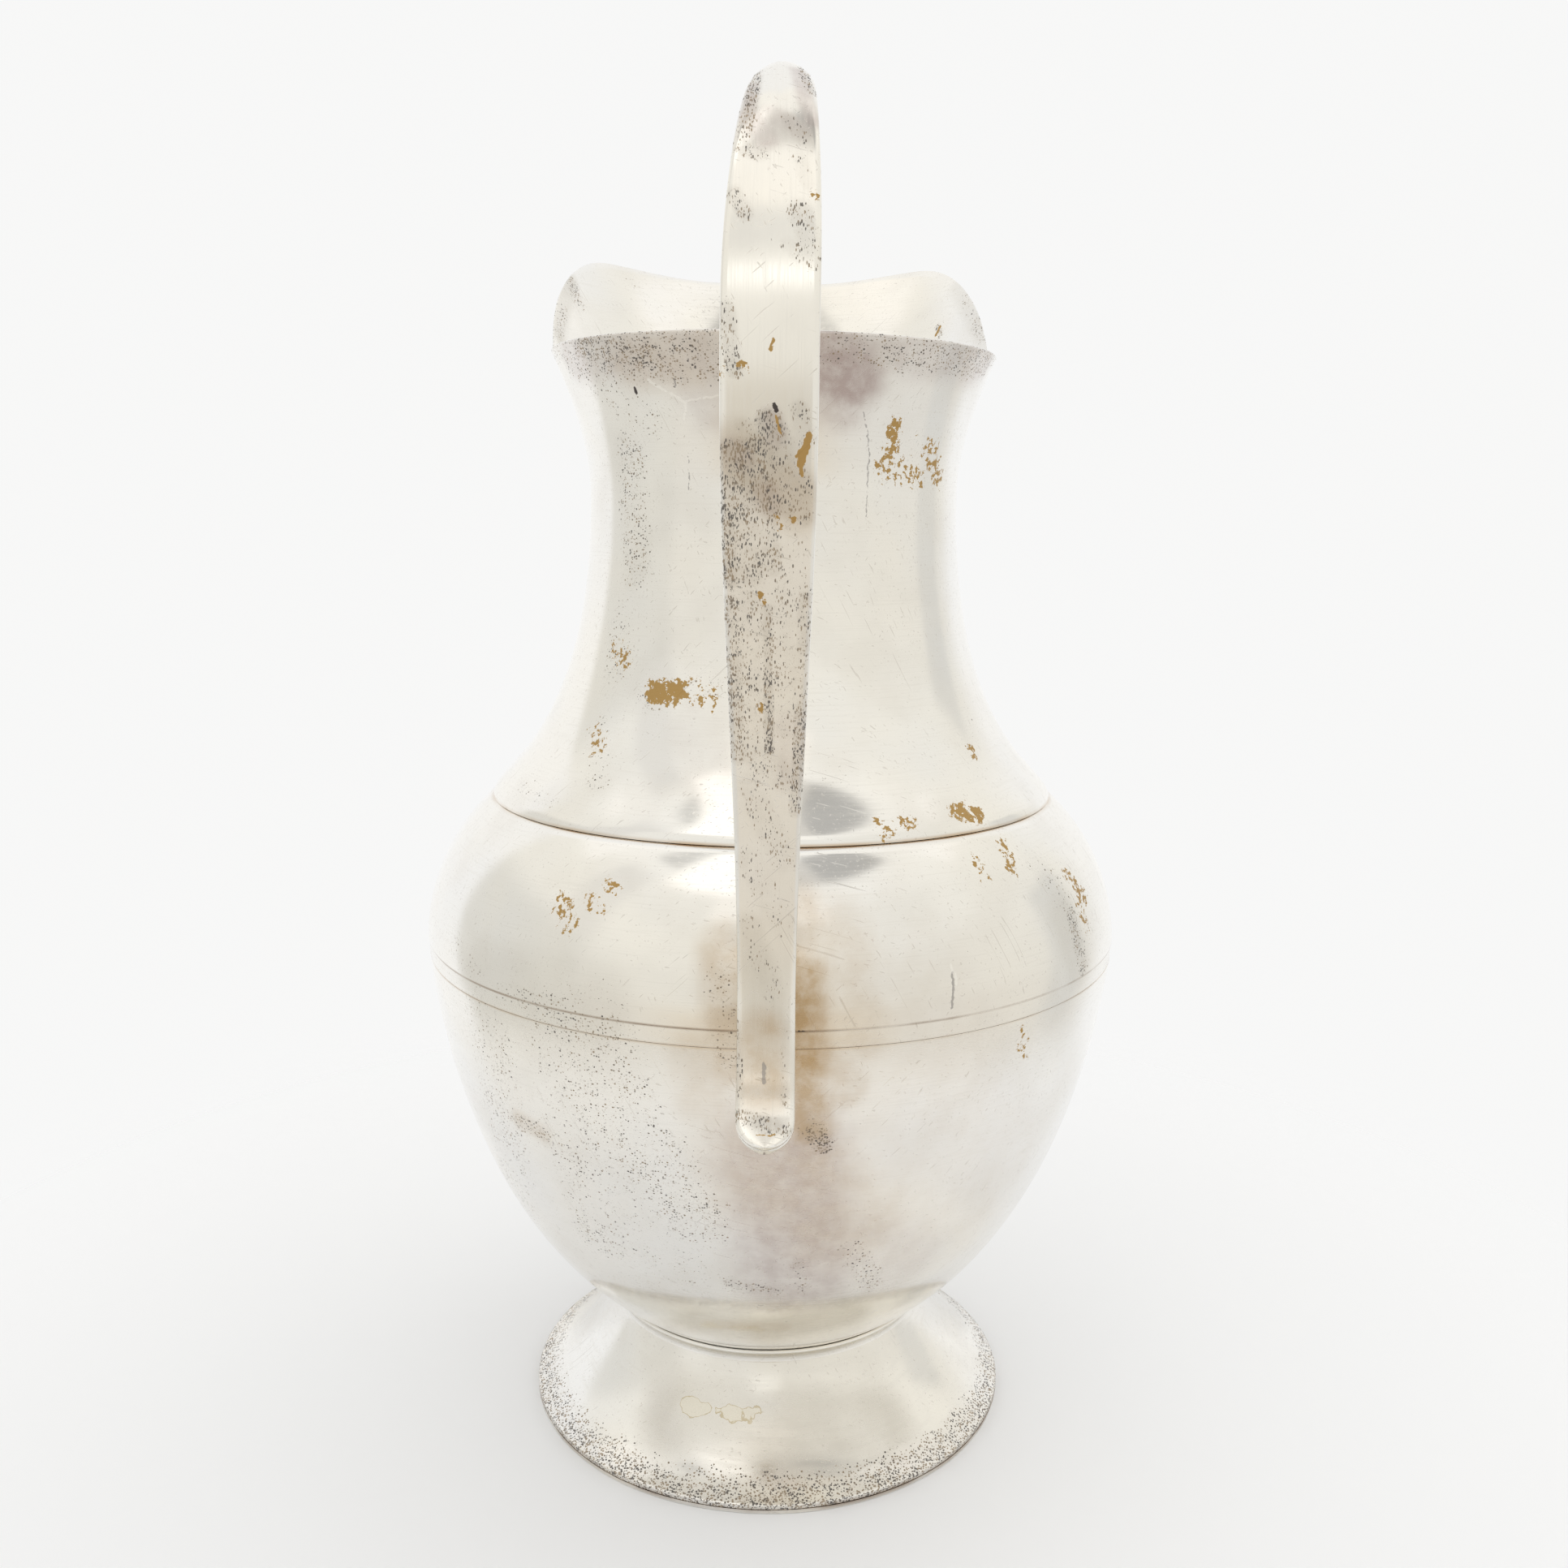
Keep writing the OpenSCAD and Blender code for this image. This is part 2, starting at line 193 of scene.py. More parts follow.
# Pieces and slots by name, the least angle of a sharp edge, and the metres that are welded
pieces, slots = {}, {}
SHARP_DEGREES = 38.0
WELD, SLIVER = 1e-6, 1e-7


def placed(name, data):
    """A new object in the scene."""
    made = bpy.data.objects.new(name, data)
    bpy.context.scene.collection.objects.link(made)
    return made


def grid_faces(rows, columns, closed_rows):
    """Quads over closed rings of points; the last ring meets the first if asked."""
    faces = []
    for j in range(rows if closed_rows else rows - 1):
        k = (j + 1) % rows
        for i in range(columns):
            n = (i + 1) % columns
            faces.append((j * columns + i, j * columns + n, k * columns + n, k * columns + i))
    return faces


def add_piece(name, points, faces, node, slot):
    """A closed smooth mesh, in metres, that stands for one node of the solids."""
    mesh = bpy.data.meshes.new(name)
    mesh.from_pydata((np.asarray(points).reshape(-1, 3) * MM).tolist(), [], faces)
    bm = bmesh.new()
    bm.from_mesh(mesh)
    bmesh.ops.remove_doubles(bm, verts=bm.verts, dist=WELD)
    bmesh.ops.dissolve_degenerate(bm, edges=bm.edges, dist=SLIVER)
    bmesh.ops.recalc_face_normals(bm, faces=bm.faces)
    limit = math.radians(SHARP_DEGREES)
    for face in bm.faces:
        face.smooth = True
    for edge in bm.edges:
        edge.smooth = edge.calc_face_angle(0.0) < limit
    bm.to_mesh(mesh)
    bm.free()
    piece = placed(name, mesh)
    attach(piece, "root")
    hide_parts(node)
    pieces[name], slots[name] = piece, slot


def bent(start, corner, end, steps):
    """Points of an arc-like curve from start to end that leans towards the corner."""
    made = []
    for t in np.linspace(0, 1, steps + 1):
        made.append((1 - t) ** 2 * start + 2 * (1 - t) * t * corner + t * t * end)
    return made


# The most of an edge that a rounded corner takes, and its steps
EASE_SHARE, EASE_STEPS = 0.45, 4


def eased(outline, radii):
    """A closed outline with the numbered corners rounded to the given radii."""
    outline = [np.array(p, float) for p in outline]
    made = []
    for i, corner in enumerate(outline):
        radius = radii.get(i, 0.0)
        if not radius:
            made.append(corner)
            continue
        to_last = outline[i - 1] - corner
        to_next = outline[(i + 1) % len(outline)] - corner
        longest = EASE_SHARE * min(np.linalg.norm(to_last), np.linalg.norm(to_next))
        reach = min(radius, longest)
        made += bent(corner + reach * unit(to_last), corner, corner + reach * unit(to_next), EASE_STEPS)
    return np.array(made)


# Waves in the sheet: depth, least radius, and turns round the axis, rise in millimetres and phase
WAVE_DEPTH = 0.035
WAVE_LEAST_R = 20.0
WAVES = ((3, 17.0, 0.0), (5, -11.0, 1.3), (9, 8.0, 2.1))


def hand_raised(points):
    """Slow waves, a few hundredths of a millimetre deep, as sheet has that was raised by hand."""
    x, y, z = points[..., 0], points[..., 1], points[..., 2]
    angle, radius = np.arctan2(y, x), np.maximum(np.hypot(x, y), WAVE_LEAST_R)
    wave = 0.0
    for turns, rise, phase in WAVES:
        wave = wave + np.sin(turns * angle + z / rise + phase)
    grow = 1 + WAVE_DEPTH * wave / radius
    return np.stack([x * grow, y * grow, z], -1)


def revolved(name, outline, node, slot):
    """A turned shell from a closed outline in radius and height."""
    outline = np.asarray(outline, float)
    angles = open_steps(0, 2 * math.pi, AROUND)
    rings = np.empty((len(outline), AROUND, 3))
    rings[..., 0] = outline[:, :1] * np.cos(angles)
    rings[..., 1] = outline[:, :1] * np.sin(angles)
    rings[..., 2] = outline[:, 1:]
    add_piece(name, hand_raised(rings), grid_faces(len(outline), AROUND, True), node, slot)


def foot_outlines():
    """Outlines of the stand ring and of the trumpet foot."""
    ring = [(FOOT_R - RING_W, 0), (FOOT_R, 0), (FOOT_R, RING_H), (FOOT_R - RING_W, RING_H)]
    outside = curve(FOOT_CURVE, FOOT_STEPS)
    inside = curve(FOOT_CURVE, FOOT_STEPS, WALL)
    keep = (inside[:, 0] < FOOT_R - WALL) & (inside[:, 1] < FOOT_H - 2 * WALL)
    seat = curve(BOWL_CURVE, SEAT_STEPS, -GAP, 0, SEAT_SHARE)
    floor_end = 1 - SEAT_SHARE
    under = bez(FLOOR_CURVE, floor_end) + GAP * unit(outward(bez_slope(FLOOR_CURVE, floor_end)))
    outside = outside[outside[:, 1] < FOOT_H - 2 * WALL]
    low, high = outside[-1], seat[-1]
    crease = high - np.array([BEAD_IN, BEAD_H])
    waist = bent(low, np.array([low[0], mix(low[1], crease[1], WAIST_SHARE)]), crease, WAIST_STEPS)
    bead_r = high[0] + BEAD_OUT
    bead = curve(np.array([crease, (bead_r, crease[1]), (bead_r, high[1] + GAP), high]), BEAD_STEPS)
    foot = [(FOOT_R - WALL, RING_H), (FOOT_R, RING_H)] + list(outside) + waist[1:] + list(bead[1:-1])
    foot += list(seat[::-1]) + [under] + list(inside[keep][::-1])
    return eased(ring, RING_EASE), eased(foot, FOOT_EASE)


def make_shells():
    """The stand ring, foot, bowl, girdle and shoulder as turned shells."""
    ring, foot = foot_outlines()
    revolved("stand_ring", ring, "base_ring", "foot_silver")
    revolved("foot_shell", foot, "foot", "foot_silver")
    spigot_top = BAND_TOP_Z + LAP
    bowl = list(curve(FLOOR_CURVE, FLOOR_STEPS)) + list(curve(BOWL_CURVE, BOWL_STEPS)[1:])
    edge = len(bowl) - 1
    bowl += [(SPIGOT_R, BAND_Z), (SPIGOT_R, spigot_top), (SPIGOT_R - WALL, spigot_top),
             (SPIGOT_R - WALL, BAND_Z - WALL)]
    bowl += list(curve(BOWL_CURVE, BOWL_INNER_STEPS, WALL, 0, BOWL_INNER_END)[::-1])
    bowl += list(curve(FLOOR_CURVE, FLOOR_STEPS, WALL)[1:-1][::-1]) + [(0.0, FLOOR_H + WALL)]
    revolved("bowl_shell", eased(bowl, {edge: BOWL_EASE}), "bowl", "body_silver")
    low, high = BAND_Z + BAND_GAP, BAND_TOP_Z - BAND_GAP
    band = [(SPIGOT_R + GAP, low), (BAND_R, low), (BAND_R, high), (SPIGOT_R + GAP, high)]
    revolved("girdle_ring", eased(band, BAND_EASE), "girdle_band", "band_silver")
    lap_share = LAP / np.linalg.norm(3 * (NECK_CURVE[1] - NECK_CURVE[0]))
    shoulder = list(curve(SHOULDER_CURVE, SHOULDER_STEPS, 0, 0, SHOULDER_END))
    shoulder += [bez(SHOULDER_CURVE, 1.0) - SEAM_STEP * unit(outward(bez_slope(SHOULDER_CURVE, 1.0)))]
    shoulder += list(curve(NECK_CURVE, LAP_STEPS, WALL + GAP, 0, lap_share))
    shoulder += list(curve(NECK_CURVE, LAP_STEPS, 2 * WALL + GAP, 0, lap_share)[::-1])
    shoulder += list(curve(SHOULDER_CURVE, SHOULDER_INNER_STEPS, WALL, 0, SHOULDER_INNER_END)[::-1])
    revolved("shoulder_shell", eased(shoulder, SHOULDER_EASE), "shoulder", "body_silver")


# Neck and mouth: the height to either side of a point at which its slope is measured
PROBE = 0.2


def flare(dz):
    return np.sqrt(FLARE_SOFT ** 2 + (FLARE_SLOPE * dz) ** 2) - FLARE_SOFT


def from_lip(angle):
    return np.abs((angle - 90 - MOUTH_TURN + 540) % 360 - 180)


def rim_z(angle):
    a = from_lip(angle)
    rise = mix(RIM_LOW_Z, RIM_HIGH_Z, smooth((RISE_FROM - a) / (RISE_FROM - RISE_TO)))
    dip = LIP_DIP * smooth((RISE_TO - a) / (RISE_TO - DIP_TO))
    return rise - dip - RIM_SKEW * np.cos(np.radians(angle))


def mouth_r(angle, z):
    a = from_lip(angle)
    window = np.where(a < LIP_HALF, (1 + np.cos(np.pi * a / LIP_HALF)) / 2, 0.0)
    pull = LIP_PULL * window * ((z - THROAT_Z) / (RIM_HIGH_Z - THROAT_Z)) ** 2
    return THROAT_R + flare(z - THROAT_Z) + pull


def make_neck():
    """The neck and mouth as one raised sheet with a rounded rim."""
    angles = open_steps(0, 360, AROUND)
    outer, normals = [], []
    for t in [*open_steps(0, ROLL_SHARE, ROLL_ROWS), *open_steps(ROLL_SHARE, 1, NECK_ROWS)]:
        p, n = bez(NECK_CURVE, t), unit(outward(bez_slope(NECK_CURVE, t)))
        along = np.linalg.norm(p - NECK_CURVE[0])
        fade = 1 - smooth((along - ROLL_L) / ROLL_FADE)
        roll = math.sin(math.pi / 2 * min(1.0, along / ROLL_L)) * fade
        p = p + ROLL_H * roll * n
        outer.append(np.tile(p, (AROUND, 1)))
        normals.append(np.tile(n, (AROUND, 1)))
    for t in np.linspace(0, 1, MOUTH_ROWS + 1):
        z = mix(THROAT_Z, rim_z(angles), t)
        wider = mouth_r(angles, z + PROBE) - mouth_r(angles, z - PROBE)
        slope = np.stack([wider, np.full(AROUND, 2 * PROBE)], 1)
        outer.append(np.stack([mouth_r(angles, z), z], 1))
        normals.append(unit(outward(slope)))
    rim_p, rim_n = outer[-1], normals[-1]
    rim_up = np.stack([-rim_n[:, 1], rim_n[:, 0]], 1)
    half = WALL / 2
    rim = []
    for a in np.linspace(0, math.pi, RIM_STEPS + 1)[1:-1]:
        rim.append(rim_p - half * rim_n + half * (math.cos(a) * rim_n + math.sin(a) * rim_up))
    inner = [p - WALL * n for p, n in zip(outer, normals)]
    profile = np.array(outer + rim + inner[::-1])
    turn = np.radians(angles)
    rings = np.stack([profile[..., 0] * np.cos(turn), profile[..., 0] * np.sin(turn), profile[..., 1]], -1)
    faces = grid_faces(len(rings), AROUND, True)
    add_piece("neck_sheet", hand_raised(rings), faces, "neck", "body_silver")


# Handle
def pad_at(z):
    return np.array([THROAT_R + flare(z - THROAT_Z) + GAP, z])


def pad_dir(z):
    return unit(pad_at(z + GAP) - pad_at(z - GAP))


def pad_crown(z, half):
    return -half ** 2 / (2 * pad_at(z)[0]) * pad_dir(z)[1]


def handle_stations():
    """Rows of reach, height, direction (two numbers), half width, crown and back depth along the strap."""
    pad_top_z = RIM_LOW_Z + WALL
    pad_low_z = pad_top_z - PAD_L
    pad_top = pad_at(pad_top_z)
    contact_dir = -unit(bez_slope(SHOULDER_CURVE, CONTACT_SHARE))
    depth = FACE_CROWN + EDGE_R + FACE_SIDE + GAP + BACK_DEPTH + GAP
    contact = bez(SHOULDER_CURVE, CONTACT_SHARE) - depth * outward(contact_dir)
    flick = math.radians(TAIL_FLICK)
    tail_dir = np.array([math.sin(flick), -math.cos(flick)])
    tail_start = np.array([BELLY_R + TAIL_OUT, TAIL_Z]) - TAIL_W / 2 * tail_dir
    leg, fall, tail_l = APEX_Z - pad_top_z, BOW_Z - contact[1], np.linalg.norm(tail_start - contact)
    apex, bow = np.array([APEX_Y, APEX_Z]), np.array([BOW_Y, BOW_Z])
    rise = [pad_top, pad_top + leg * RISE_LEAVE * pad_dir(pad_top_z),
            np.array([mix(APEX_Y, pad_top[0], RISE_MEET), APEX_Z]), apex]
    loop = [apex, np.array([mix(APEX_Y, BOW_Y, LOOP_SHARE), APEX_Z]),
            np.array([BOW_Y, mix(BOW_Z, APEX_Z, LOOP_SHARE)]), bow]
    strap = [bow, bow - np.array([0, fall * STRAP_LEAVE]),
             contact - fall * STRAP_MEET * contact_dir, contact]
    tail = [contact, contact + tail_l * TAIL_LEAVE * contact_dir,
            tail_start - tail_l * TAIL_MEET * tail_dir, tail_start]
    pad_back = BACK_DEPTH * PAD_DEPTH_SHARE
    rows = []

    def along(p, t, half, crown, back=BACK_DEPTH):
        rows.append([*bez(p, t), *unit(bez_slope(p, t)), half, crown, back])

    ends = np.radians(END_ANGLES)
    for a in ends:
        half, z = PAD_W / 2 * math.sin(a), pad_low_z + PAD_W / 2 * (1 - math.cos(a))
        rows.append([*pad_at(z), *pad_dir(z), half, pad_crown(z, half), pad_back])
    for z in np.linspace(pad_low_z + PAD_W / 2, pad_top_z, PAD_STEPS + 1)[1:-1]:
        rows.append([*pad_at(z), *pad_dir(z), PAD_W / 2, pad_crown(z, PAD_W / 2), pad_back])
    for t in open_steps(0, 1, RISE_STEPS):
        s = smooth(t)
        along(rise, t, mix(PAD_W, APEX_W, s) / 2, mix(pad_crown(pad_top_z, PAD_W / 2), APEX_CROWN, s),
              BACK_DEPTH * mix(PAD_DEPTH_SHARE, 1, s))
    for t in open_steps(0, 1, LOOP_STEPS):
        crown = mix(APEX_CROWN, FACE_CROWN, smooth(t / FLATTEN_SHARE))
        along(loop, t, mix(APEX_W, BOW_W, smooth(t / WIDEN_SHARE)) / 2, crown)
    for t in open_steps(0, 1, STRAP_STEPS):
        along(strap, t, mix(BOW_W, TAIL_W, smooth(t)) / 2, FACE_CROWN)
    for t in open_steps(0, 1, TAIL_STEPS):
        along(tail, t, TAIL_W / 2, FACE_CROWN)
    for a in ends[::-1]:
        p = tail_start + TAIL_W / 2 * math.cos(a) * tail_dir
        rows.append([*p, *tail_dir, TAIL_W / 2 * math.sin(a), FACE_CROWN, BACK_DEPTH])
    return np.array(rows)


def face_section(half, crown):
    """Half of the face's section, from the middle of its crown round the edge to the seam."""
    edge = min(EDGE_R, half / 3)
    seam = -(max(0.0, crown) + EDGE_R + FACE_SIDE)
    across = np.linspace(0, half - edge, CROWN_POINTS)
    points = [(x, -crown * (x / half) ** 2) for x in across]
    drop = -crown
    for a in np.linspace(0, math.pi / 2, EDGE_STEPS + 1)[1:]:
        points.append((half - edge + edge * math.sin(a), drop - edge + edge * math.cos(a)))
    points += [(half, mix(drop - edge, seam, 0.5)), (half - SEAM_IN, seam), (0.0, seam)]
    return points


def back_section(half, crown, back):
    """Half of the back's section, from the seam round the grip's edge to its middle."""
    seam = -(max(0.0, crown) + EDGE_R + FACE_SIDE) - GAP
    low = seam - back
    r = min(2 * EDGE_R, half / 2, back / 2)
    points = [(0.0, seam), (half - SEAM_IN, seam), (half, seam - SEAM_DOWN)]
    for a in np.linspace(0, math.pi / 2, GRIP_STEPS + 1):
        points.append((half - r + r * math.cos(a), low + r - r * math.sin(a)))
    points += [((half - r) * 0.5, low), (0.0, low)]
    return points


def swept(name, sections, stations, node):
    """A strap half swept through the stations, its sections mirrored and both ends closed."""
    rings = []
    for half_section, (out, up, way_out, way_up) in zip(sections, stations[:, :4]):
        ring = list(half_section) + [(-x, y) for x, y in half_section[-2:0:-1]]
        lean = APEX_LEAN * max(0.0, (up - BOW_Z) / (APEX_Z - BOW_Z)) ** 2
        rings.append([(x + lean, -(out - y * way_up), up + y * way_out) for x, y in ring])
    rings = np.array(rings)
    count = rings.shape[1]
    faces = grid_faces(len(rings), count, False)
    faces += [tuple(range(count)), tuple((len(rings) - 1) * count + i for i in range(count))]
    add_piece(name, rings, faces, node, "handle_silver")


def make_handle():
    """The two halves of the hollow strap."""
    stations = handle_stations()
    faces = [face_section(half, crown) for half, crown in stations[:, 4:6]]
    backs = [back_section(half, crown, back) for half, crown, back in stations[:, 4:]]
    swept("strap_face", faces, stations, "handle_face")
    swept("strap_back", backs, stations, "handle_back")


# Camera, matched to the photograph's circles: pixels, millimetres, metres and degrees
PHOTO = 1932
FOCAL_PX = 1800
SENSOR_MM = 36.0
CAMERA_AT = (0.0030, -0.3504, 0.2201)
CAMERA_PITCH = 79.465
CAMERA_ROLL = 0.5
CAMERA_CLIP = (0.01, 50.0)


def make_camera():
    data = bpy.data.cameras.new("camera")
    data.sensor_width = SENSOR_MM
    data.lens = SENSOR_MM * FOCAL_PX / PHOTO
    data.clip_start, data.clip_end = CAMERA_CLIP
    camera = placed("camera", data)
    pitch = Euler((math.radians(CAMERA_PITCH), 0, 0)).to_matrix()
    turn = pitch @ Matrix.Rotation(math.radians(CAMERA_ROLL), 3, "Z")
    camera.matrix_world = Matrix.Translation(CAMERA_AT) @ turn.to_4x4()
    bpy.context.scene.camera = camera
    return camera


camera = make_camera()
make_shells()
make_neck()
make_handle()


# Wear marks, and a few painted reflections and shadows, seen in the photograph: pixel x and y of start and
# end, radius in millimetres, strength
SHELL_MARKS = {
    "speckle": [
        (720, 430, 800, 436, 6, 0.9), (700, 436, 885, 438, 11, 0.64), (800, 426, 875, 420, 5, 0.8),
        (1020, 420, 1100, 430, 8, 0.58), (1100, 430, 1215, 446, 7.5, 0.72), (760, 465, 860, 462, 6, 0.4),
        (703, 345, 712, 372, 4, 0.9), (1203, 400, 1222, 432, 4, 0.62), (694, 378, 689, 415, 3, 0.62),
        (1186, 366, 1203, 400, 3, 0.5), (775, 345, 785, 352, 3, 0.5), (1155, 402, 1158, 412, 2, 0.9),
        (735, 470, 800, 520, 8, 0.5), (775, 560, 785, 700, 9, 0.62), (765, 760, 760, 820, 8, 0.5),
        (735, 900, 740, 960, 7, 0.5), (1160, 600, 1180, 720, 9, 0.3), (1195, 880, 1205, 950, 6, 0.35),
        (800, 860, 880, 845, 6, 0.5), (640, 965, 680, 990, 5, 0.4), (885, 1205, 900, 1300, 6, 0.5),
        (620, 1225, 760, 1265, 5, 0.55), (600, 1270, 640, 1480, 16, 0.5), (636, 1380, 672, 1398, 4, 0.7),
        (715, 1300, 800, 1470, 26, 0.5), (700, 1400, 740, 1520, 16, 0.5), (785, 1400, 850, 1500, 16, 0.58),
        (740, 1500, 840, 1560, 16, 0.4), (1270, 1060, 1340, 1140, 8, 0.45),
        (1320, 1130, 1335, 1190, 4, 0.8), (1200, 1280, 1290, 1420, 12, 0.22),
        (1000, 1390, 1015, 1410, 4, 0.9), (900, 1580, 955, 1592, 4, 0.7), (1050, 1540, 1075, 1580, 6, 0.55),
        (980, 1555, 990, 1590, 3, 0.6), (560, 1160, 600, 1220, 6, 0.4),
    ],
    "brass": [
        (808, 853, 832, 853, 4.6, 0.84), (845, 846, 872, 860, 5, 0.46), (760, 800, 770, 815, 4.6, 0.5),
        (733, 900, 738, 922, 4.2, 0.45), (1102, 522, 1098, 556, 3.4, 0.68),
        (1088, 575, 1130, 588, 5, 0.5), (1146, 552, 1156, 585, 4.6, 0.55),
        (1180, 1000, 1203, 1003, 4, 0.7), (1082, 1012, 1092, 1026, 3.4, 0.52),
        (1112, 1013, 1124, 1013, 3, 0.5), (750, 1090, 759, 1096, 2.6, 0.6),
        (692, 1112, 702, 1138, 4, 0.56), (728, 1112, 742, 1122, 3.4, 0.46),
        (1236, 1040, 1246, 1072, 3.4, 0.54), (1204, 1060, 1214, 1082, 3, 0.48),
        (1316, 1080, 1334, 1102, 4, 0.6), (1330, 1112, 1338, 1140, 3.4, 0.5),
        (1196, 922, 1201, 932, 2.6, 0.55), (1260, 1270, 1262, 1300, 2.4, 0.5),
    ],
    "brown": [
        (980, 1205, 988, 1310, 10, 0.82), (976, 1120, 982, 1205, 9, 0.42), (985, 1200, 992, 1300, 7, 1.0),
        (985, 1300, 1000, 1390, 7, 0.8), (1015, 1170, 1040, 1270, 16, 0.3), (985, 1400, 1010, 1440, 9, 0.4),
        (895, 1170, 905, 1310, 8, 0.5), (950, 1430, 1040, 1500, 22, 0.3), (880, 1632, 960, 1636, 4, 0.2),
        (780, 450, 875, 445, 9, 0.24), (862, 1300, 870, 1360, 9, 0.25), (1080, 1280, 1180, 1470, 36, 0.13),
        (640, 1380, 668, 1396, 4, 0.25), (1010, 1300, 1040, 1340, 8, 0.4),
    ],
    "plum": [
        # Plum under the rim beside the handle: tarnish under the flare, and painted reflection of the
        # strap's shaded underside
        (705, 436, 880, 430, 9, 0.38), (850, 455, 885, 500, 9, 0.26), (1015, 440, 1050, 462, 11, 1.0),
        (1020, 485, 1040, 495, 9, 0.5), (1075, 428, 1215, 445, 8, 0.36), (990, 1395, 1015, 1412, 4, 0.8),
        (860, 900, 885, 960, 10, 0.15), (965, 1420, 985, 1570, 19, 0.62),
        (1040, 1530, 1100, 1560, 16, 0.25),
    ],
    "dull": [
        # The first two dull marks are not film but a painted reflection band across the foot's middle
        (840, 1750, 1080, 1760, 15, 0.75), (900, 1689, 1060, 1692, 9, 0.3), (600, 1215, 730, 1240, 14, 0.4),
        (1310, 1130, 1330, 1190, 8, 0.4), (680, 1330, 860, 1460, 42, 0.17), (702, 338, 688, 415, 4, 0.5),
        (1180, 352, 1220, 440, 4, 0.42),
    ],
    "stain": [
        (848, 1732, 862, 1735, 2.5, 0.58), (886, 1742, 923, 1745, 3.2, 0.66),
        (862, 1735, 886, 1741, 2.3, 0.54),
    ],
}
STRAP_MARKS = {
    "speckle": [
        (932, 88, 916, 165, 2.6, 1.0), (990, 86, 1000, 112, 2.2, 0.9), (970, 145, 990, 170, 2.6, 0.6),
        (905, 176, 935, 190, 2.8, 0.7), (905, 238, 918, 262, 2.6, 0.85), (985, 195, 995, 225, 2.4, 0.55),
        (985, 260, 1003, 318, 3.6, 0.72), (970, 300, 985, 315, 2.4, 0.7), (895, 380, 905, 455, 2.6, 0.85),
        (915, 524, 930, 530, 2.6, 0.6), (945, 518, 958, 535, 3.4, 0.9), (985, 505, 995, 540, 3, 0.7),
        (896, 552, 930, 550, 2.4, 1.15), (905, 565, 905, 625, 5, 0.95), (935, 555, 942, 625, 5.5, 0.92),
        (970, 560, 975, 620, 5.5, 0.8), (994, 590, 992, 640, 2.2, 0.9), (896, 620, 900, 715, 2.6, 1.0),
        (915, 630, 925, 705, 5, 0.78), (945, 640, 950, 700, 3.6, 0.8), (980, 640, 980, 715, 5, 0.45),
        (905, 700, 985, 735, 6, 0.52), (900, 745, 908, 930, 3.2, 0.9), (922, 745, 926, 840, 5, 0.7),
        (926, 840, 930, 930, 5, 0.58), (945, 750, 948, 925, 1.6, 1.1), (968, 745, 967, 835, 5.5, 0.67),
        (967, 835, 966, 890, 5.5, 0.53), (992, 735, 990, 800, 2.2, 0.95), (986, 800, 984, 870, 2.6, 0.7),
        (988, 870, 980, 1000, 2.2, 0.95), (925, 920, 965, 960, 5.5, 0.68), (925, 970, 965, 1060, 5, 0.6),
        (925, 1060, 965, 1140, 5, 0.54), (925, 1140, 960, 1240, 4.6, 0.46),
        (912, 1375, 965, 1392, 2.8, 0.9), (908, 1260, 912, 1360, 1.6, 0.7),
        (968, 1260, 966, 1360, 1.6, 0.6),
    ],
    "brass": [
        (888, 452, 891, 458, 1.4, 0.6), (912, 447, 918, 453, 1.6, 0.6), (1003, 236, 1004, 244, 1.6, 0.6),
        (958, 636, 960, 648, 1.5, 0.55), (939, 733, 940, 742, 1.4, 0.55), (936, 870, 937, 878, 1.4, 0.5),
        (980, 642, 981, 646, 1.3, 0.55),
    ],
    "brown": [
        # The second brown mark is painted shadow along the strap's edge where it meets the belly
        (938, 1275, 940, 1340, 7, 0.58), (985, 1220, 985, 1260, 2, 0.8), (905, 555, 985, 620, 7, 0.32),
    ],
    "plum": [
        (922, 140, 945, 170, 3, 0.5), (945, 140, 990, 160, 3, 0.3), (984, 88, 1001, 150, 2.4, 0.5),
        (925, 108, 921, 145, 2, 0.5), (950, 518, 955, 540, 3, 0.5), (905, 552, 915, 565, 3, 0.45),
        (943, 605, 950, 622, 3, 0.5), (975, 900, 980, 950, 5, 0.22),
    ],
    "dull": [(905, 553, 985, 615, 7, 0.5), (915, 1150, 965, 1330, 6, 0.3)],
}
# Single strokes seen in the photograph: pixel x and y of start and end, half width in millimetres
SHELL_STROKES = {
    "dark": [
        (782, 478, 784, 484, 0.36), (1166, 1261, 1167, 1262, 0.4), (1101, 1270, 1102, 1271, 0.4),
        # The last dark stroke is the girdle's seam darkened further with painted shadow of the strap
        (985, 1271, 998, 1273, 0.28),
    ],
    # Grey: lines down the neck, painted shade in the crease under the rim (831, 467), and the curved dark
    # line on the shoulder
    "grey": [
        (1064, 508, 1069, 535, 0.12), (1069, 535, 1071, 560, 0.15), (1071, 560, 1069, 600, 0.17),
        (1069, 600, 1067, 640, 0.08), (848, 563, 849, 603, 0.12), (831, 467, 832, 476, 0.2),
        (1173, 1198, 1175, 1218, 0.2), (1175, 1218, 1173, 1242, 0.28),
    ],
    # Painted highlights: the lit edge of the crease under the rim, and a glint beside the curved dark line
    # on the shoulder
    "light": [
        (798, 468, 845, 496, 0.3), (845, 496, 843, 516, 0.26), (846, 493, 884, 488, 0.22),
        (1171, 1188, 1173, 1198, 0.2), (1177, 1200, 1178, 1214, 0.22),
    ],
    "brass": [
        (1158, 403, 1153, 413, 0.4), (1128, 536, 1180, 540, 0.08), (1076, 567, 1150, 588, 0.08),
        (1157, 545, 1152, 585, 0.1), (1100, 583, 1168, 592, 0.08), (1115, 600, 1180, 606, 0.07),
    ],
}
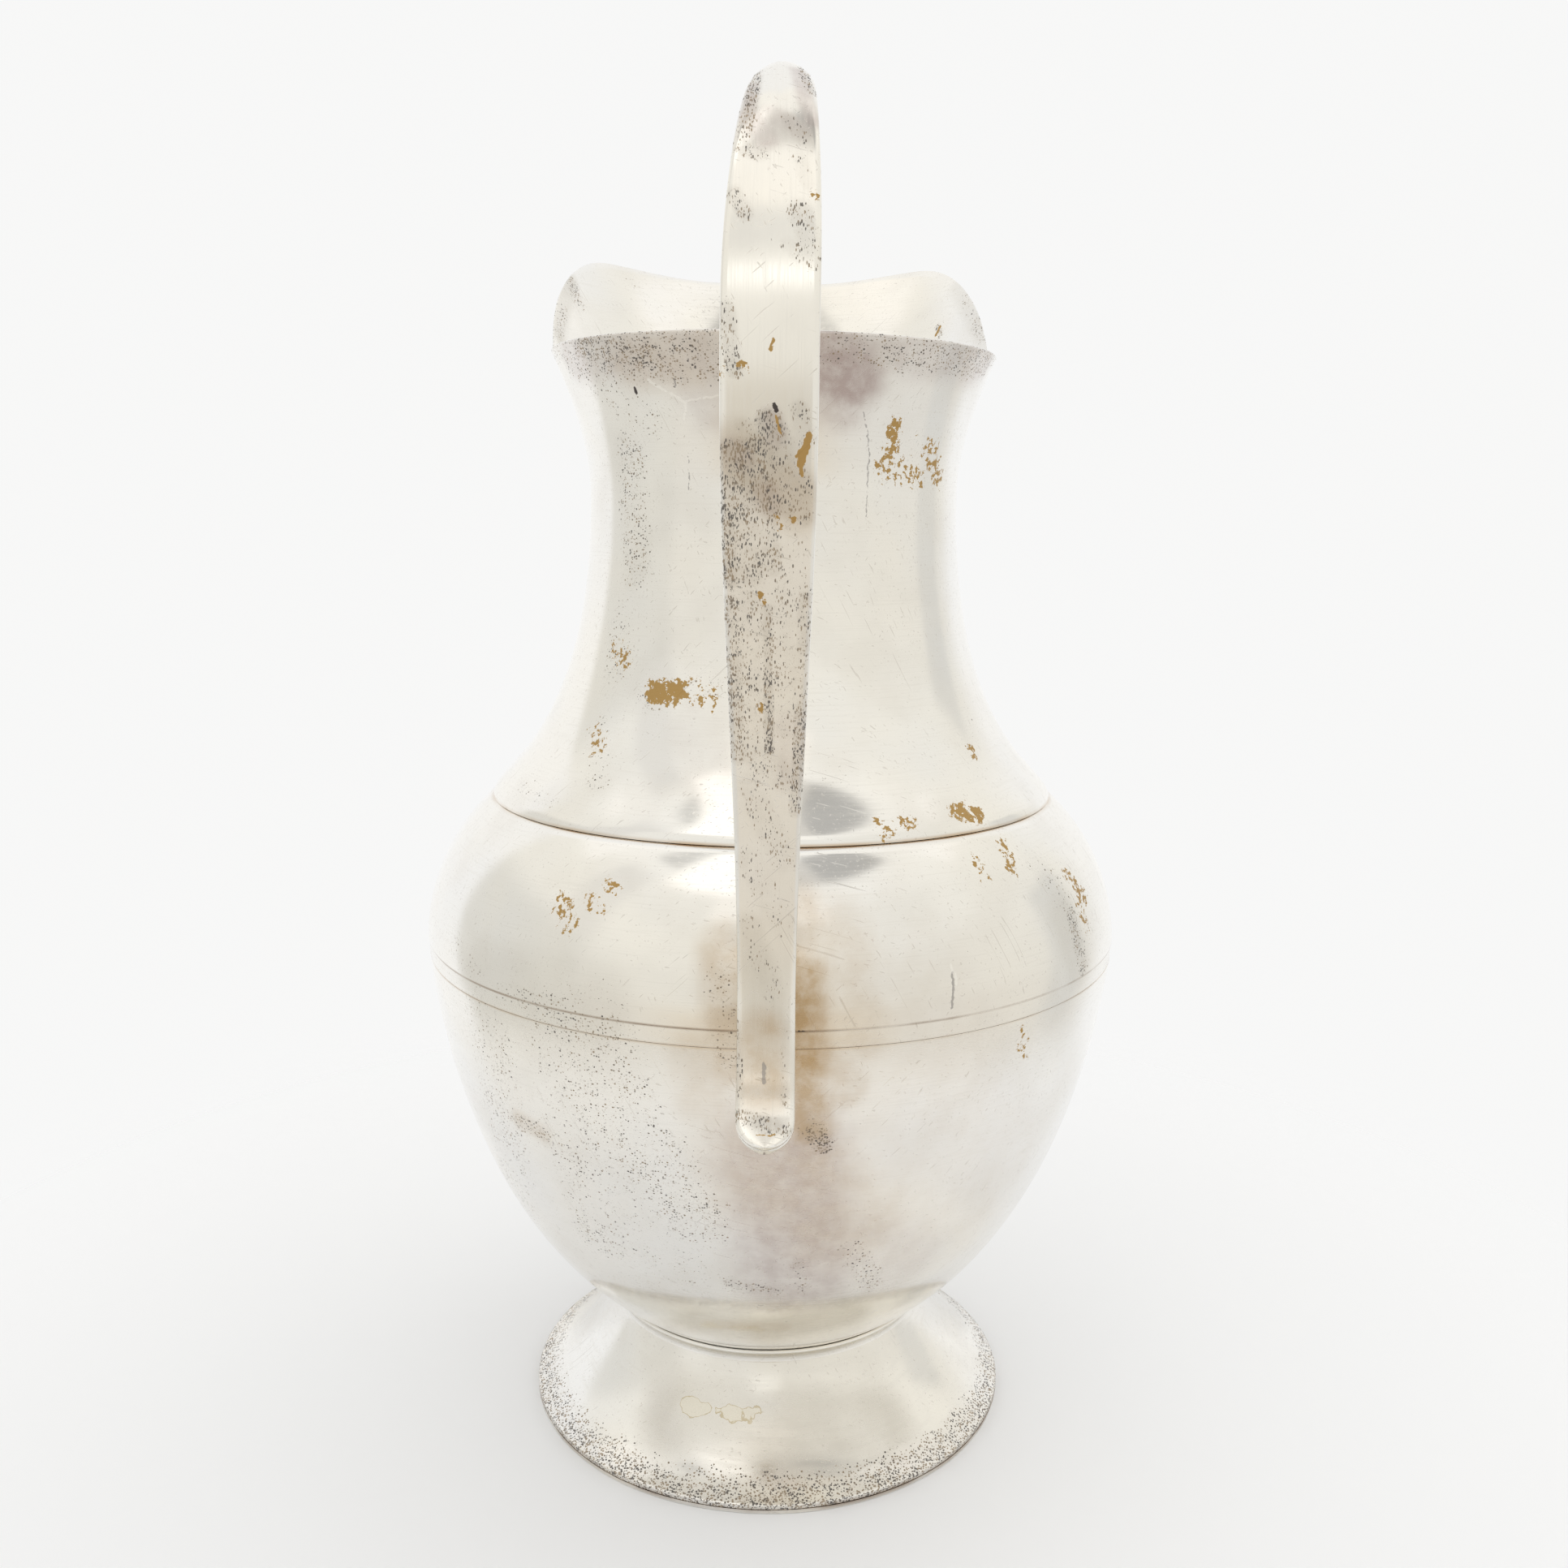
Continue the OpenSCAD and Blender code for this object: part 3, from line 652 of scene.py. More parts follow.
STRAP_STROKES = {
    "dark": [(955, 499, 956, 505, 0.36)],
    "grey": [(941, 1312, 941, 1334, 0.4)],
    "brass": [
        (997, 537, 991, 556, 0.62), (991, 551, 982, 562, 0.4), (990, 556, 986, 572, 0.6),
        (987, 570, 988, 587, 0.3), (956, 512, 962, 534, 0.2), (953, 418, 949, 430, 0.22),
        (932, 1399, 955, 1398, 0.12),
    ],
}

SHELLS = ("foot_shell", "bowl_shell", "girdle_ring", "shoulder_shell", "neck_sheet")
STRAPS = ("strap_face", "strap_back")
# Wear that goes all round: reach in millimetres and strength; the foot's sway, its angle, and the end
FOOT_WEAR = (6.6, 1.6)
WEAR_SWAY, WEAR_TURN, WEAR_END = 0.18, -110.0, 1.15
RIM_WEAR = (7.0, 0.62)
# Wear on the side that the photograph doesn't show
BACK_SEED = 11
BACK_ANGLES = (15.0, 165.0)
BACK_HEIGHTS = (40.0, 235.0)
# Its patches: how many, radii, strengths, and the most degrees and millimetres that one slants
BACK_PATCHES = {"speckle": (16, (7.0, 12.0), (0.42, 0.62), (14.0, 24.0)),
                "brass": (8, (3.0, 4.4), (0.45, 0.62), (4.0, 7.0))}
# Where its rays start, in metres from the axis, and how many a patch takes
BACK_REACH, BACK_STEPS = 0.3, 6
# Pixels from ray to ray along a mark, least agreement of two normals, share of a radius that fades
MARK_STEP = 5
FACING_LEAST = 0.2
PATCH_FADE = 0.7


def pixel_ray(pixel):
    """Direction from the camera through a pixel of the photograph."""
    half = PHOTO / 2
    ray = Vector(((pixel[0] - half) / FOCAL_PX, (half - pixel[1]) / FOCAL_PX, -1.0))
    return (camera.matrix_world.to_3x3() @ ray).normalized()


def search_tree(names):
    points, polygons = [], []
    for name in names:
        base = len(points)
        mesh = pieces[name].data
        points += [v.co.copy() for v in mesh.vertices]
        polygons += [[base + i for i in p.vertices] for p in mesh.polygons]
    return BVHTree.FromPolygons(points, polygons)


def patch(hits, radius, strength):
    """A list with the patch that rays met, if any: points, normals, radius in metres, strength."""
    hits = [hit for hit in hits if hit[0]]
    if not hits:
        return []
    return [(np.array([hit[0] for hit in hits]), np.array([hit[1] for hit in hits]), radius * MM, strength)]


def photo_patches(tree, marks):
    """Patches on the surface under the marked pixels."""
    eye, made = Vector(CAMERA_AT), []
    for *line, radius, strength in marks:
        start, end = line[:2], line[2:]
        pixels = np.linspace(start, end, 2 + int(math.dist(start, end) / MARK_STEP))
        made += patch([tree.ray_cast(eye, pixel_ray(pixel)) for pixel in pixels], radius, strength)
    return made


def back_patches(tree, draw, count, radii, strengths, spread):
    """Slanted patches on the unseen side, at drawn angles and heights."""
    made = []
    for _ in range(count):
        angle, height = draw.uniform(*BACK_ANGLES), draw.uniform(*BACK_HEIGHTS)
        radius, strength = draw.uniform(*radii), draw.uniform(*strengths)
        turn, climb = draw.uniform(-spread[0], spread[0]), draw.uniform(-spread[1], spread[1])
        hits = []
        for share in np.linspace(0, 1, BACK_STEPS):
            a = math.radians(angle + turn * share)
            way = Vector((math.cos(a), math.sin(a), 0.0))
            start = way * BACK_REACH + Vector((0, 0, (height + climb * share) * MM))
            hits.append(tree.ray_cast(start, -way))
        made += patch(hits, radius, strength)
    return made


def paint(mesh, attribute, patches):
    """Paints soft patches as a point attribute, where faces look the same way as the marked ones."""
    count = len(mesh.vertices)
    places, normals = np.empty(count * 3), np.empty(count * 3)
    mesh.vertices.foreach_get("co", places)
    mesh.vertex_normals.foreach_get("vector", normals)
    places, normals = places.reshape(-1, 3), normals.reshape(-1, 3)
    values = np.zeros(count)
    for points, ways, radius, strength in patches:
        near = np.all((places > points.min(0) - radius) & (places < points.max(0) + radius), axis=1)
        if not near.any():
            continue
        gaps = np.linalg.norm(places[near][:, None] - points[None], axis=2)
        closest = gaps.argmin(axis=1)
        facing = (normals[near] * ways[closest]).sum(axis=1) > FACING_LEAST
        weight = strength * smooth((1.0 - gaps.min(axis=1) / radius) / PATCH_FADE) * facing
        values[near] = np.maximum(values[near], weight)
    if attribute == "speckle":
        values = np.maximum(values, all_round(mesh, places, normals))
    mesh.attributes.new(attribute, "FLOAT", "POINT").data.foreach_set("value", values)


def all_round(mesh, places, normals):
    """Speckle that follows the foot's edge and the outside of the rim."""
    x, y, z = (places / MM).T
    if mesh.name == "foot_shell":
        sway = np.cos(np.arctan2(y, x) - math.radians(WEAR_TURN))
        reach = FOOT_WEAR[0] * (1 + WEAR_SWAY * sway)
        return FOOT_WEAR[1] * smooth(WEAR_END - z / reach)
    if mesh.name == "neck_sheet":
        below = rim_z(np.degrees(np.arctan2(y, x))) - z
        outside = (normals[:, 0] * x + normals[:, 1] * y) > 0
        return RIM_WEAR[1] * smooth(1.0 - below / RIM_WEAR[0]) * outside
    return np.zeros(len(places))


def placed_strokes(tree, rows):
    """Strokes as pairs of points on the surface, with the half width in metres."""
    eye = Vector(CAMERA_AT)
    made = []
    for *line, half in rows:
        ends = [tree.ray_cast(eye, pixel_ray(pixel))[0] for pixel in (line[:2], line[2:])]
        if all(ends):
            made.append((*ends, half * MM))
    return made


def paint_marks():
    """Paints every mark on the pieces and gives back the strokes on the surface."""
    draw = random.Random(BACK_SEED)
    strokes = []
    groups = ((SHELLS, SHELL_MARKS, SHELL_STROKES), (STRAPS, STRAP_MARKS, STRAP_STROKES))
    for names, marks, lines in groups:
        tree = search_tree(names)
        strokes.append({kind: placed_strokes(tree, rows) for kind, rows in lines.items()})
        for attribute, rows in marks.items():
            patches = photo_patches(tree, rows)
            if names is SHELLS and attribute in BACK_PATCHES:
                patches += back_patches(tree, draw, *BACK_PATCHES[attribute])
            for name in names:
                paint(pieces[name].data, attribute, patches)
    return strokes


shell_strokes, strap_strokes = paint_marks()


# Node trees
class Nodes:
    """Short calls that build a node tree."""

    def __init__(self, owner):
        owner.use_nodes = True
        self.tree = owner.node_tree

    def plug(self, socket, value):
        if isinstance(value, bpy.types.NodeSocket):
            self.tree.links.new(value, socket)
        else:
            socket.default_value = value

    def add(self, kind, inputs=None, **settings):
        made = self.tree.nodes.new("ShaderNode" + kind)
        for key, value in settings.items():
            setattr(made, key, value)
        for key, value in (inputs or {}).items():
            self.plug(made.inputs[key], value)
        return made

    def math(self, operation, a, b=0.0):
        return self.add("Math", {0: a, 1: b}, operation=operation).outputs[0]

    def times(self, a, b):
        return self.math("MULTIPLY", a, b)

    def plus(self, a, b):
        return self.math("ADD", a, b)

    def minus(self, a, b):
        return self.math("SUBTRACT", a, b)

    def most(self, a, b):
        return self.math("MAXIMUM", a, b)

    def vector(self, operation, a, b=(0, 0, 0)):
        made = self.add("VectorMath", {0: a, 1: b}, operation=operation).outputs
        return made["Value" if operation in ("DOT_PRODUCT", "DISTANCE", "LENGTH") else 0]

    def ramp(self, value, low, high, start=0.0, end=1.0):
        inputs = {"Value": value, "From Min": low, "From Max": high, "To Min": start, "To Max": end}
        return self.add("MapRange", inputs, interpolation_type="SMOOTHSTEP").outputs[0]

    def blend(self, share, a, b):
        return self.add("Mix", {0: share, 6: a, 7: b}, data_type="RGBA").outputs[2]

    def noise(self, place, scale, detail=2.0, stretch=None, rough=0.5):
        if stretch:
            place = self.vector("MULTIPLY", place, stretch)
        inputs = {"Vector": place, "Scale": scale, "Detail": detail, "Roughness": rough}
        return self.add("TexNoise", inputs).outputs[0]

    def blotches(self, place, kind):
        scale, detail, *rise = kind
        return self.ramp(self.noise(place, scale, detail), *rise)

    def attribute(self, name):
        return self.add("Attribute", attribute_name=name).outputs["Fac"]


# Colours of the finish
WARM_SILVER = (0.93, 0.90, 0.835, 1)
COOL_SILVER = (0.885, 0.875, 0.85, 1)
CLOUDED = (0.80, 0.77, 0.715, 1)
# Films; the dull one also paints a reflection band on the foot, the plum one a reflection under the rim, the
# brown one a shadow at the strap's edge
DULL_FILM_AND_REFLECTION = (0.64, 0.605, 0.54, 1)
PLUM_FILM_AND_REFLECTION = (0.50, 0.42, 0.40, 1)
BROWN_FILM_AND_SHADE = (0.52, 0.375, 0.22, 1)
GRIME = (0.42, 0.375, 0.32, 1)
# Dirt in the seams, also used as painted shade in the girdle's top gap and where the foot meets the stand
# ring
DARK_SEAM_AND_SHADE = (0.26, 0.17, 0.10, 1)
BROWN_SEAM = (0.52, 0.34, 0.17, 1)
PALE_SEAM = (0.80, 0.72, 0.55, 1)
STAIN = (0.80, 0.74, 0.58, 1)
STAIN_EDGE = (0.52, 0.43, 0.27, 1)
DARK_PIT = (0.12, 0.11, 0.105, 1)
BROWN_PIT = (0.36, 0.285, 0.205, 1)
DARK_STROKE = (0.06, 0.05, 0.05, 1)
GREY_STROKE = (0.24, 0.23, 0.23, 1)
# Painted highlight for the lit edges of small creases
PAINTED_HIGHLIGHT = (1.0, 0.98, 0.93, 1)
BASE_METAL = (0.47, 0.305, 0.12, 1)
# Films, with a few marks of painted reflection and shadow among them: attribute, colour and scale of the
# noise, and that noise's detail, roughness and rise
FILMS = (("dull", DULL_FILM_AND_REFLECTION, 40.0), ("plum", PLUM_FILM_AND_REFLECTION, 240.0), ("brown", BROWN_FILM_AND_SHADE, 200.0))
FILM_DETAIL, FILM_ROUGH, FILM_RISE = 6.0, 0.6, (0.3, 0.7, 0.62, 1.08)
# Strokes, the light ones painted highlights: colours and strengths, the noise and depth of their ragged
# edge, and its softness in metres
STROKE_TINTS = (("dark", DARK_STROKE, 0.95), ("grey", GREY_STROKE, 0.6), ("light", PAINTED_HIGHLIGHT, 0.4))
STROKE_SCALE, STROKE_DETAIL = 900.0, 3.0
STROKE_SHIFT = (0.0011,) * 3
STROKE_EDGE = (-0.00003, 0.00009)
# Blotches: scale and detail of the noise, where it rises, and what it rises from and to
TONE_BLOTCHES = (17.0, 3.0, 0.36, 0.64)
CLOUD_BLOTCHES = (60.0, 6.0, 0.42, 0.75, 0.0, 0.5)
STAIN_BLOTCHES = (210.0, 3.0, 0.3, 0.7, -0.35, 0.35)
SEAM_BLOTCHES = (45.0, 4.0, 0.35, 0.65, 0.25, 1.0)
PIT_CLUMPS = (70.0, 3.0, 0.35, 0.6, 0.82, 1.0)
PIT_CLUSTERS = (420.0, 3.0, 0.36, 0.6, 0.8, 1.0)
PIT_TINTS = (500.0, 2.0, 0.4, 0.6)
# Polishing lines and columns of pits: scale and detail of the noise, rise, and the columns' stretch
LINE_NOISE, LINE_RISE = (90.0, 3.0), (0.5, 0.75, 0.0, 0.22)
COLUMN_NOISE, COLUMN_RISE = (90.0, 2.0), (0.38, 0.6)
COLUMN_STRETCH = 15.0
# Fine scratches: leans in degrees, noise and its stretch, rise and strength
SCRATCH_TURNS = (28.0, -47.0, 74.0)
SCRATCH_NOISE = (14.0, 1.0, (150.0, 150.0, 1.0))
SCRATCH_RISE, SCRATCH_TINT = (0.7, 0.76), 0.3
# The dried drops: their film, the two sides of their edge, and its strength
STAIN_FILL = (0.36, 0.39, 0.0, 0.34)
STAIN_INNER, STAIN_OUTER, STAIN_TINT = (0.39, 0.45, 1.0, 0.0), (0.35, 0.37), 0.7
# Pits: a fine grain, and dots with radii in shares of a cell, which come between two densities
GRAIN_NOISE, GRAIN_LEVEL, GRAIN_SOFT = (3200.0, 2.5), 0.765, 0.035
DOT_SCALE = 2900.0
DOT_RADII = (0.36, 0.54)
DOT_DENSITY = (0.15, 1.1)
DOT_FADE, DOT_SOFT = 0.1, 0.08
GRIME_DENSITY = (0.2, 1.1)
PIT_TINT = 0.9
# Bare flakes: noise, its middle and depth, rise, and the least paint
FLAKE_NOISE = (800.0, 6.0, None, 0.66)
FLAKE_MIDDLE, FLAKE_DEPTH = 0.5, 2.5
FLAKE_RISE, FLAKE_PAINT = (0.54, 0.58), (0.02, 0.1)
# Roughness along the lines, in shares of the finish's own, and what scratches, film and pits add
ROUGH_LINES, ROUGH_LEAST, ROUGH_MOST = (0.3, 0.75), 0.75, 1.35
ROUGH_SCRATCH, ROUGH_FILM, ROUGH_PIT = 0.12, 0.14, 0.3
# Relief of the lines, pits, bare metal and scratches
LINE_HEIGHT, PIT_DEPTH, BARE_DEPTH, SCRATCH_DEPTH = 0.06, 0.05, 0.5, 0.3
BUMP_STRENGTH, BUMP_METRES = 0.3, 0.0001


def on_strokes(g, place, strokes):
    """1 on the given segments, with slightly ragged edges."""
    ragged = {"Vector": place, "Scale": STROKE_SCALE, "Detail": STROKE_DETAIL}
    shift = g.vector("SUBTRACT", g.add("TexNoise", ragged).outputs[1], (0.5, 0.5, 0.5))
    shift = g.vector("MULTIPLY", shift, STROKE_SHIFT)
    place = g.vector("ADD", place, shift)
    nearest = 1.0
    for start, end, half in strokes:
        way = end - start
        off = g.vector("SUBTRACT", place, start)
        reach = g.vector("DOT_PRODUCT", off, way / way.length_squared)
        share = g.add("Clamp", {0: reach}).outputs[0]
        foot = g.add("VectorMath", {0: share, 1: way, 2: start}, operation="MULTIPLY_ADD").outputs[0]
        gap = g.vector("DISTANCE", place, foot)
        nearest = g.math("MINIMUM", g.minus(gap, half), nearest)
    return g.ramp(nearest, *STROKE_EDGE, 1.0, 0.0)


def silver(name, roughness, dash, scratch, streaks, grime, dust, strokes, seams):
    """Worn silver plate. dash and scratch stretch the pits and the polishing lines, streaks is how far the
    pits follow these lines, grime is the film and dust the fine grain between them, strokes are single
    marks, the light ones painted highlights, and seams are stained heights, the dark ones darkened further
    as painted shade."""
    material = bpy.data.materials.new(name)
    g = Nodes(material)
    shader = g.tree.nodes["Principled BSDF"]
    place = g.add("TexCoord").outputs["Object"]
    height = g.add("SeparateXYZ", {0: place}).outputs[2]
    lines = g.noise(place, *LINE_NOISE, scratch)

    colour = g.blend(g.blotches(place, TONE_BLOTCHES), COOL_SILVER, WARM_SILVER)
    colour = g.blend(g.blotches(place, CLOUD_BLOTCHES), colour, CLOUDED)
    scratches = 0.0
    for turn in SCRATCH_TURNS:
        lean = {"Vector": place, "Angle": math.radians(turn)}
        turned = g.add("VectorRotate", lean, rotation_type="Y_AXIS").outputs[0]
        thin = g.ramp(g.noise(turned, *SCRATCH_NOISE), *SCRATCH_RISE)
        scratches = g.most(thin, scratches)
    colour = g.blend(g.times(scratches, SCRATCH_TINT), colour, GRIME)
    colour = g.blend(g.ramp(lines, *LINE_RISE), colour, CLOUDED)
    film = 0.0
    for attribute, tint, scale in FILMS:
        patchy = g.ramp(g.noise(place, scale, FILM_DETAIL, None, FILM_ROUGH), *FILM_RISE)
        share = g.times(g.attribute(attribute), patchy)
        colour = g.blend(share, colour, tint)
        film = g.plus(share, film)
    wet = g.plus(g.attribute("stain"), g.blotches(place, STAIN_BLOTCHES))
    colour = g.blend(g.ramp(wet, *STAIN_FILL), colour, STAIN)
    rim = g.times(g.ramp(wet, *STAIN_OUTER), g.ramp(wet, *STAIN_INNER))
    colour = g.blend(g.times(rim, STAIN_TINT), colour, STAIN_EDGE)
    # Seam lines: stains, the dark ones also painted shade in the joints
    for at, width, strength, tint in seams:
        off = g.math("ABSOLUTE", g.minus(height, at * MM))
        line = g.ramp(off, 0.0, width * MM, strength, 0.0)
        colour = g.blend(g.times(line, g.blotches(place, SEAM_BLOTCHES)), colour, tint)

    clumps = g.times(g.blotches(place, PIT_CLUMPS), g.blotches(place, PIT_CLUSTERS))
    density = g.times(g.attribute("speckle"), clumps)
    colour = g.blend(g.ramp(density, *GRIME_DENSITY, 0.0, grime), colour, GRIME)
    columns = g.noise(place, *COLUMN_NOISE, tuple(min(side, COLUMN_STRETCH) for side in scratch))
    density = g.times(density, g.ramp(columns, *COLUMN_RISE, 1.0 - streaks, 1.0))
    low = g.minus(GRAIN_LEVEL, g.times(density, dust))
    pits = g.ramp(g.noise(place, *GRAIN_NOISE, dash), low, g.plus(low, GRAIN_SOFT))
    cells = g.add("TexVoronoi", {"Vector": g.vector("MULTIPLY", place, dash), "Scale": DOT_SCALE})
    chance, width = g.add("SeparateXYZ", {0: cells.outputs["Color"]}).outputs[:2]
    dots = g.minus(g.ramp(width, 0.0, 1.0, *DOT_RADII), cells.outputs["Distance"])
    shown = g.ramp(g.minus(g.ramp(density, *DOT_DENSITY), chance), 0.0, DOT_FADE)
    pits = g.most(pits, g.times(g.ramp(dots, 0.0, DOT_SOFT), shown))
    pit_colour = g.blend(g.blotches(place, PIT_TINTS), DARK_PIT, BROWN_PIT)
    colour = g.blend(g.times(pits, PIT_TINT), colour, pit_colour)

    flakes = g.minus(g.noise(place, *FLAKE_NOISE), FLAKE_MIDDLE)
    flakes = g.times(flakes, FLAKE_DEPTH)
    bare = g.ramp(g.plus(g.attribute("brass"), flakes), *FLAKE_RISE)
    bare = g.times(bare, g.ramp(g.attribute("brass"), *FLAKE_PAINT))
    # Single strokes: dark and grey marks, and the light strokes as painted highlights
    for kind, tint, strength in STROKE_TINTS:
        if kind in strokes:
            mask = on_strokes(g, place, strokes[kind])
            colour = g.blend(g.times(mask, strength), colour, tint)
    if "brass" in strokes:
        bare = g.most(bare, on_strokes(g, place, strokes["brass"]))
    colour = g.blend(bare, colour, BASE_METAL)
    g.plug(shader.inputs["Base Color"], colour)
    shader.inputs["Metallic"].default_value = 1.0

    rough = g.ramp(lines, *ROUGH_LINES, roughness * ROUGH_LEAST, roughness * ROUGH_MOST)
    for mask, added in ((scratches, ROUGH_SCRATCH), (film, ROUGH_FILM),
                        (g.most(pits, bare), ROUGH_PIT)):
        rough = g.plus(rough, g.times(mask, added))
    g.plug(shader.inputs["Roughness"], rough)

    relief = g.times(lines, LINE_HEIGHT)
    for mask, depth in ((pits, PIT_DEPTH), (bare, BARE_DEPTH), (scratches, SCRATCH_DEPTH)):
        relief = g.minus(relief, g.times(mask, depth))
    bump = g.add("Bump", {"Strength": BUMP_STRENGTH, "Distance": BUMP_METRES, "Height": relief})
    g.plug(shader.inputs["Normal"], bump.outputs[0])
    return material


# Stretch of the pits and of the polishing lines along X, Y and Z
BODY_DASH = (0.66, 0.66, 0.8)
FOOT_DASH = (0.62, 0.62, 0.85)
FLAT_LINES = (1.0, 1.0, 30.0)
FOOT_LINES = (1.0, 1.0, 12.0)
STRAP_DASH = (1.15, 0.5, 0.46)
STRAP_LINES = (40.0, 1.0, 1.0)
# Stained seams, the dark ones also painted shade in the joints: height and reach in millimetres, strength
# and colour
BODY_SEAMS = ((BAND_Z, 0.5, 0.35, BROWN_SEAM), (BAND_TOP_Z, 0.5, 0.85, DARK_SEAM_AND_SHADE),
              (SEAM_Z, 0.8, 0.75, BROWN_SEAM), (FOOT_H, 0.9, 0.5, PALE_SEAM))
BAND_SEAMS = ((BAND_Z, 0.5, 0.4, BROWN_SEAM), (BAND_TOP_Z, 0.5, 0.9, DARK_SEAM_AND_SHADE))
FOOT_SEAMS = ((FOOT_H, 1.2, 0.6, PALE_SEAM), (RING_H, 1.2, 0.7, DARK_SEAM_AND_SHADE))
# Finishes: roughness, stretch of pits and lines, streaks, grime, dust, single strokes and stained and shaded
# seams
FINISHES = {
    "body_silver": (0.13, BODY_DASH, FLAT_LINES, 0.15, 0.2, 0.25, shell_strokes, BODY_SEAMS),
    "foot_silver": (0.17, FOOT_DASH, FOOT_LINES, 0.15, 0.12, 0.14, {}, FOOT_SEAMS),
    "band_silver": (0.2, BODY_DASH, FLAT_LINES, 0.15, 0.2, 0.25, {}, BAND_SEAMS),
    "handle_silver": (0.15, STRAP_DASH, STRAP_LINES, 0.3, 0.35, 0.25, strap_strokes, ()),
}
finishes = {slot: silver(slot, *values) for slot, values in FINISHES.items()}
for name, piece in pieces.items():
    piece.data.materials.append(finishes[slots[name]])


# Floor, world and lamps
FLOOR_SIZE = 4.0
FLOOR_ROUGH = 0.7
# Where the floor fades, in metres: behind the ewer and round it
FLOOR_BACK = (0.17, 0.25)
FLOOR_ROUND = (0.19, 0.30)
FLOOR_COLOUR = (0.92, 0.92, 0.915, 1)
BACKDROP = (0.935, 0.935, 0.93, 1)
PLAIN_LIGHT = 0.96
# The mirrored room: white behind, beige towards the camera, darker low down and lighter high up
WHITE_WALL = (0.985, 0.985, 0.98, 1)
ROOM_LOW = (0.845, 0.83, 0.785, 1)
ROOM_MIDDLE = (0.93, 0.915, 0.865, 1)
ROOM_HIGH = (1.04, 1.02, 0.97, 1)
TABLE_FRONT = (0.80, 0.745, 0.655, 1)
TABLE_SIDE = (0.81, 0.79, 0.745, 1)
# Degrees over which its tones change
WHITE_LEFT = (-122, -115)
WHITE_RIGHT = (117, 142)
LOW_TO_MIDDLE = (2.0, 32.0)
MIDDLE_TO_HIGH = (40.0, 68.0)
TABLE_TURN = (20.0, 50.0)
TABLE_EDGE = (-12.0, 0.0)
# Its panels and dark places: azimuth from the camera's side towards +X, elevation, softness, colour
ROOM_PATCHES = (
    ((-120, -62), (-30, 25), 6.0, (0.79, 0.78, 0.74, 1)),
    ((100, 119), (-25, 20), 3.0, (0.75, 0.745, 0.72, 1)),
    ((-80, -60), (20, 57), 4.0, (0.84, 0.825, 0.79, 1)),
    ((-42, 45), (62, 76), 1.5, (0.74, 0.715, 0.67, 1)),
    ((-11, 10), (-14, 5), 4.0, (0.70, 0.66, 0.585, 1)),
    ((-128, -93), (48, 76), 3.0, (1.07, 1.05, 1.01, 1)),
    ((93, 118), (48, 76), 3.0, (1.06, 1.04, 1.0, 1)),
    ((-95, -20), (-41, -30), 5.0, (0.745, 0.72, 0.67, 1)),
    ((20, 95), (-41, -30), 5.0, (0.745, 0.715, 0.665, 1)),
    ((-24, 24), (42, 61), 1.5, (1.06, 1.03, 0.97, 1)),
    ((-12, 11), (31, 41), 2.0, (0.84, 0.83, 0.80, 1)),
    ((-11, 10), (23.5, 28), 1.5, (1.35, 1.34, 1.3, 1)),
    ((30, 78), (62.3, 77), 1.0, (0.51, 0.50, 0.48, 1)),
    ((-53, -18), (56, 80), 2.5, (1.35, 1.32, 1.26, 1)),
    ((-76, -57), (63, 77), 1.0, (0.70, 0.69, 0.66, 1)),
)
# Lamps: azimuth, elevation, distance, size and watts, and the point that they look at
LAMPS = {"key_panel": (-125, 62, 1.1, 0.9, 0.5), "fill_panel": (70, 60, 1.4, 0.9, 1.5)}
LAMP_AIM = (0, 0, 0.13)


def make_floor():
    """A pale floor that keeps the shadow and fades into the background."""
    mesh = bpy.data.meshes.new("floor")
    size = FLOOR_SIZE
    corners = [(-size, -size, 0), (size, -size, 0), (size, size, 0), (-size, size, 0)]
    mesh.from_pydata(corners, [], [(0, 1, 2, 3)])
    floor = placed("floor", mesh)
    material = bpy.data.materials.new("floor")
    g = Nodes(material)
    shader = g.tree.nodes["Principled BSDF"]
    shader.inputs["Base Color"].default_value = FLOOR_COLOUR
    shader.inputs["Roughness"].default_value = FLOOR_ROUGH
    place = g.add("TexCoord").outputs["Object"]
    depth = g.add("SeparateXYZ", {0: place}).outputs[1]
    far = g.vector("LENGTH", place)
    fade = g.most(g.ramp(depth, *FLOOR_BACK), g.ramp(far, *FLOOR_ROUND))
    clear = g.add("BsdfTransparent").outputs[0]
    faded = g.add("MixShader", {0: fade, 1: shader.outputs[0], 2: clear})
    g.plug(g.tree.nodes["Material Output"].inputs[0], faded.outputs[0])
    mesh.materials.append(material)


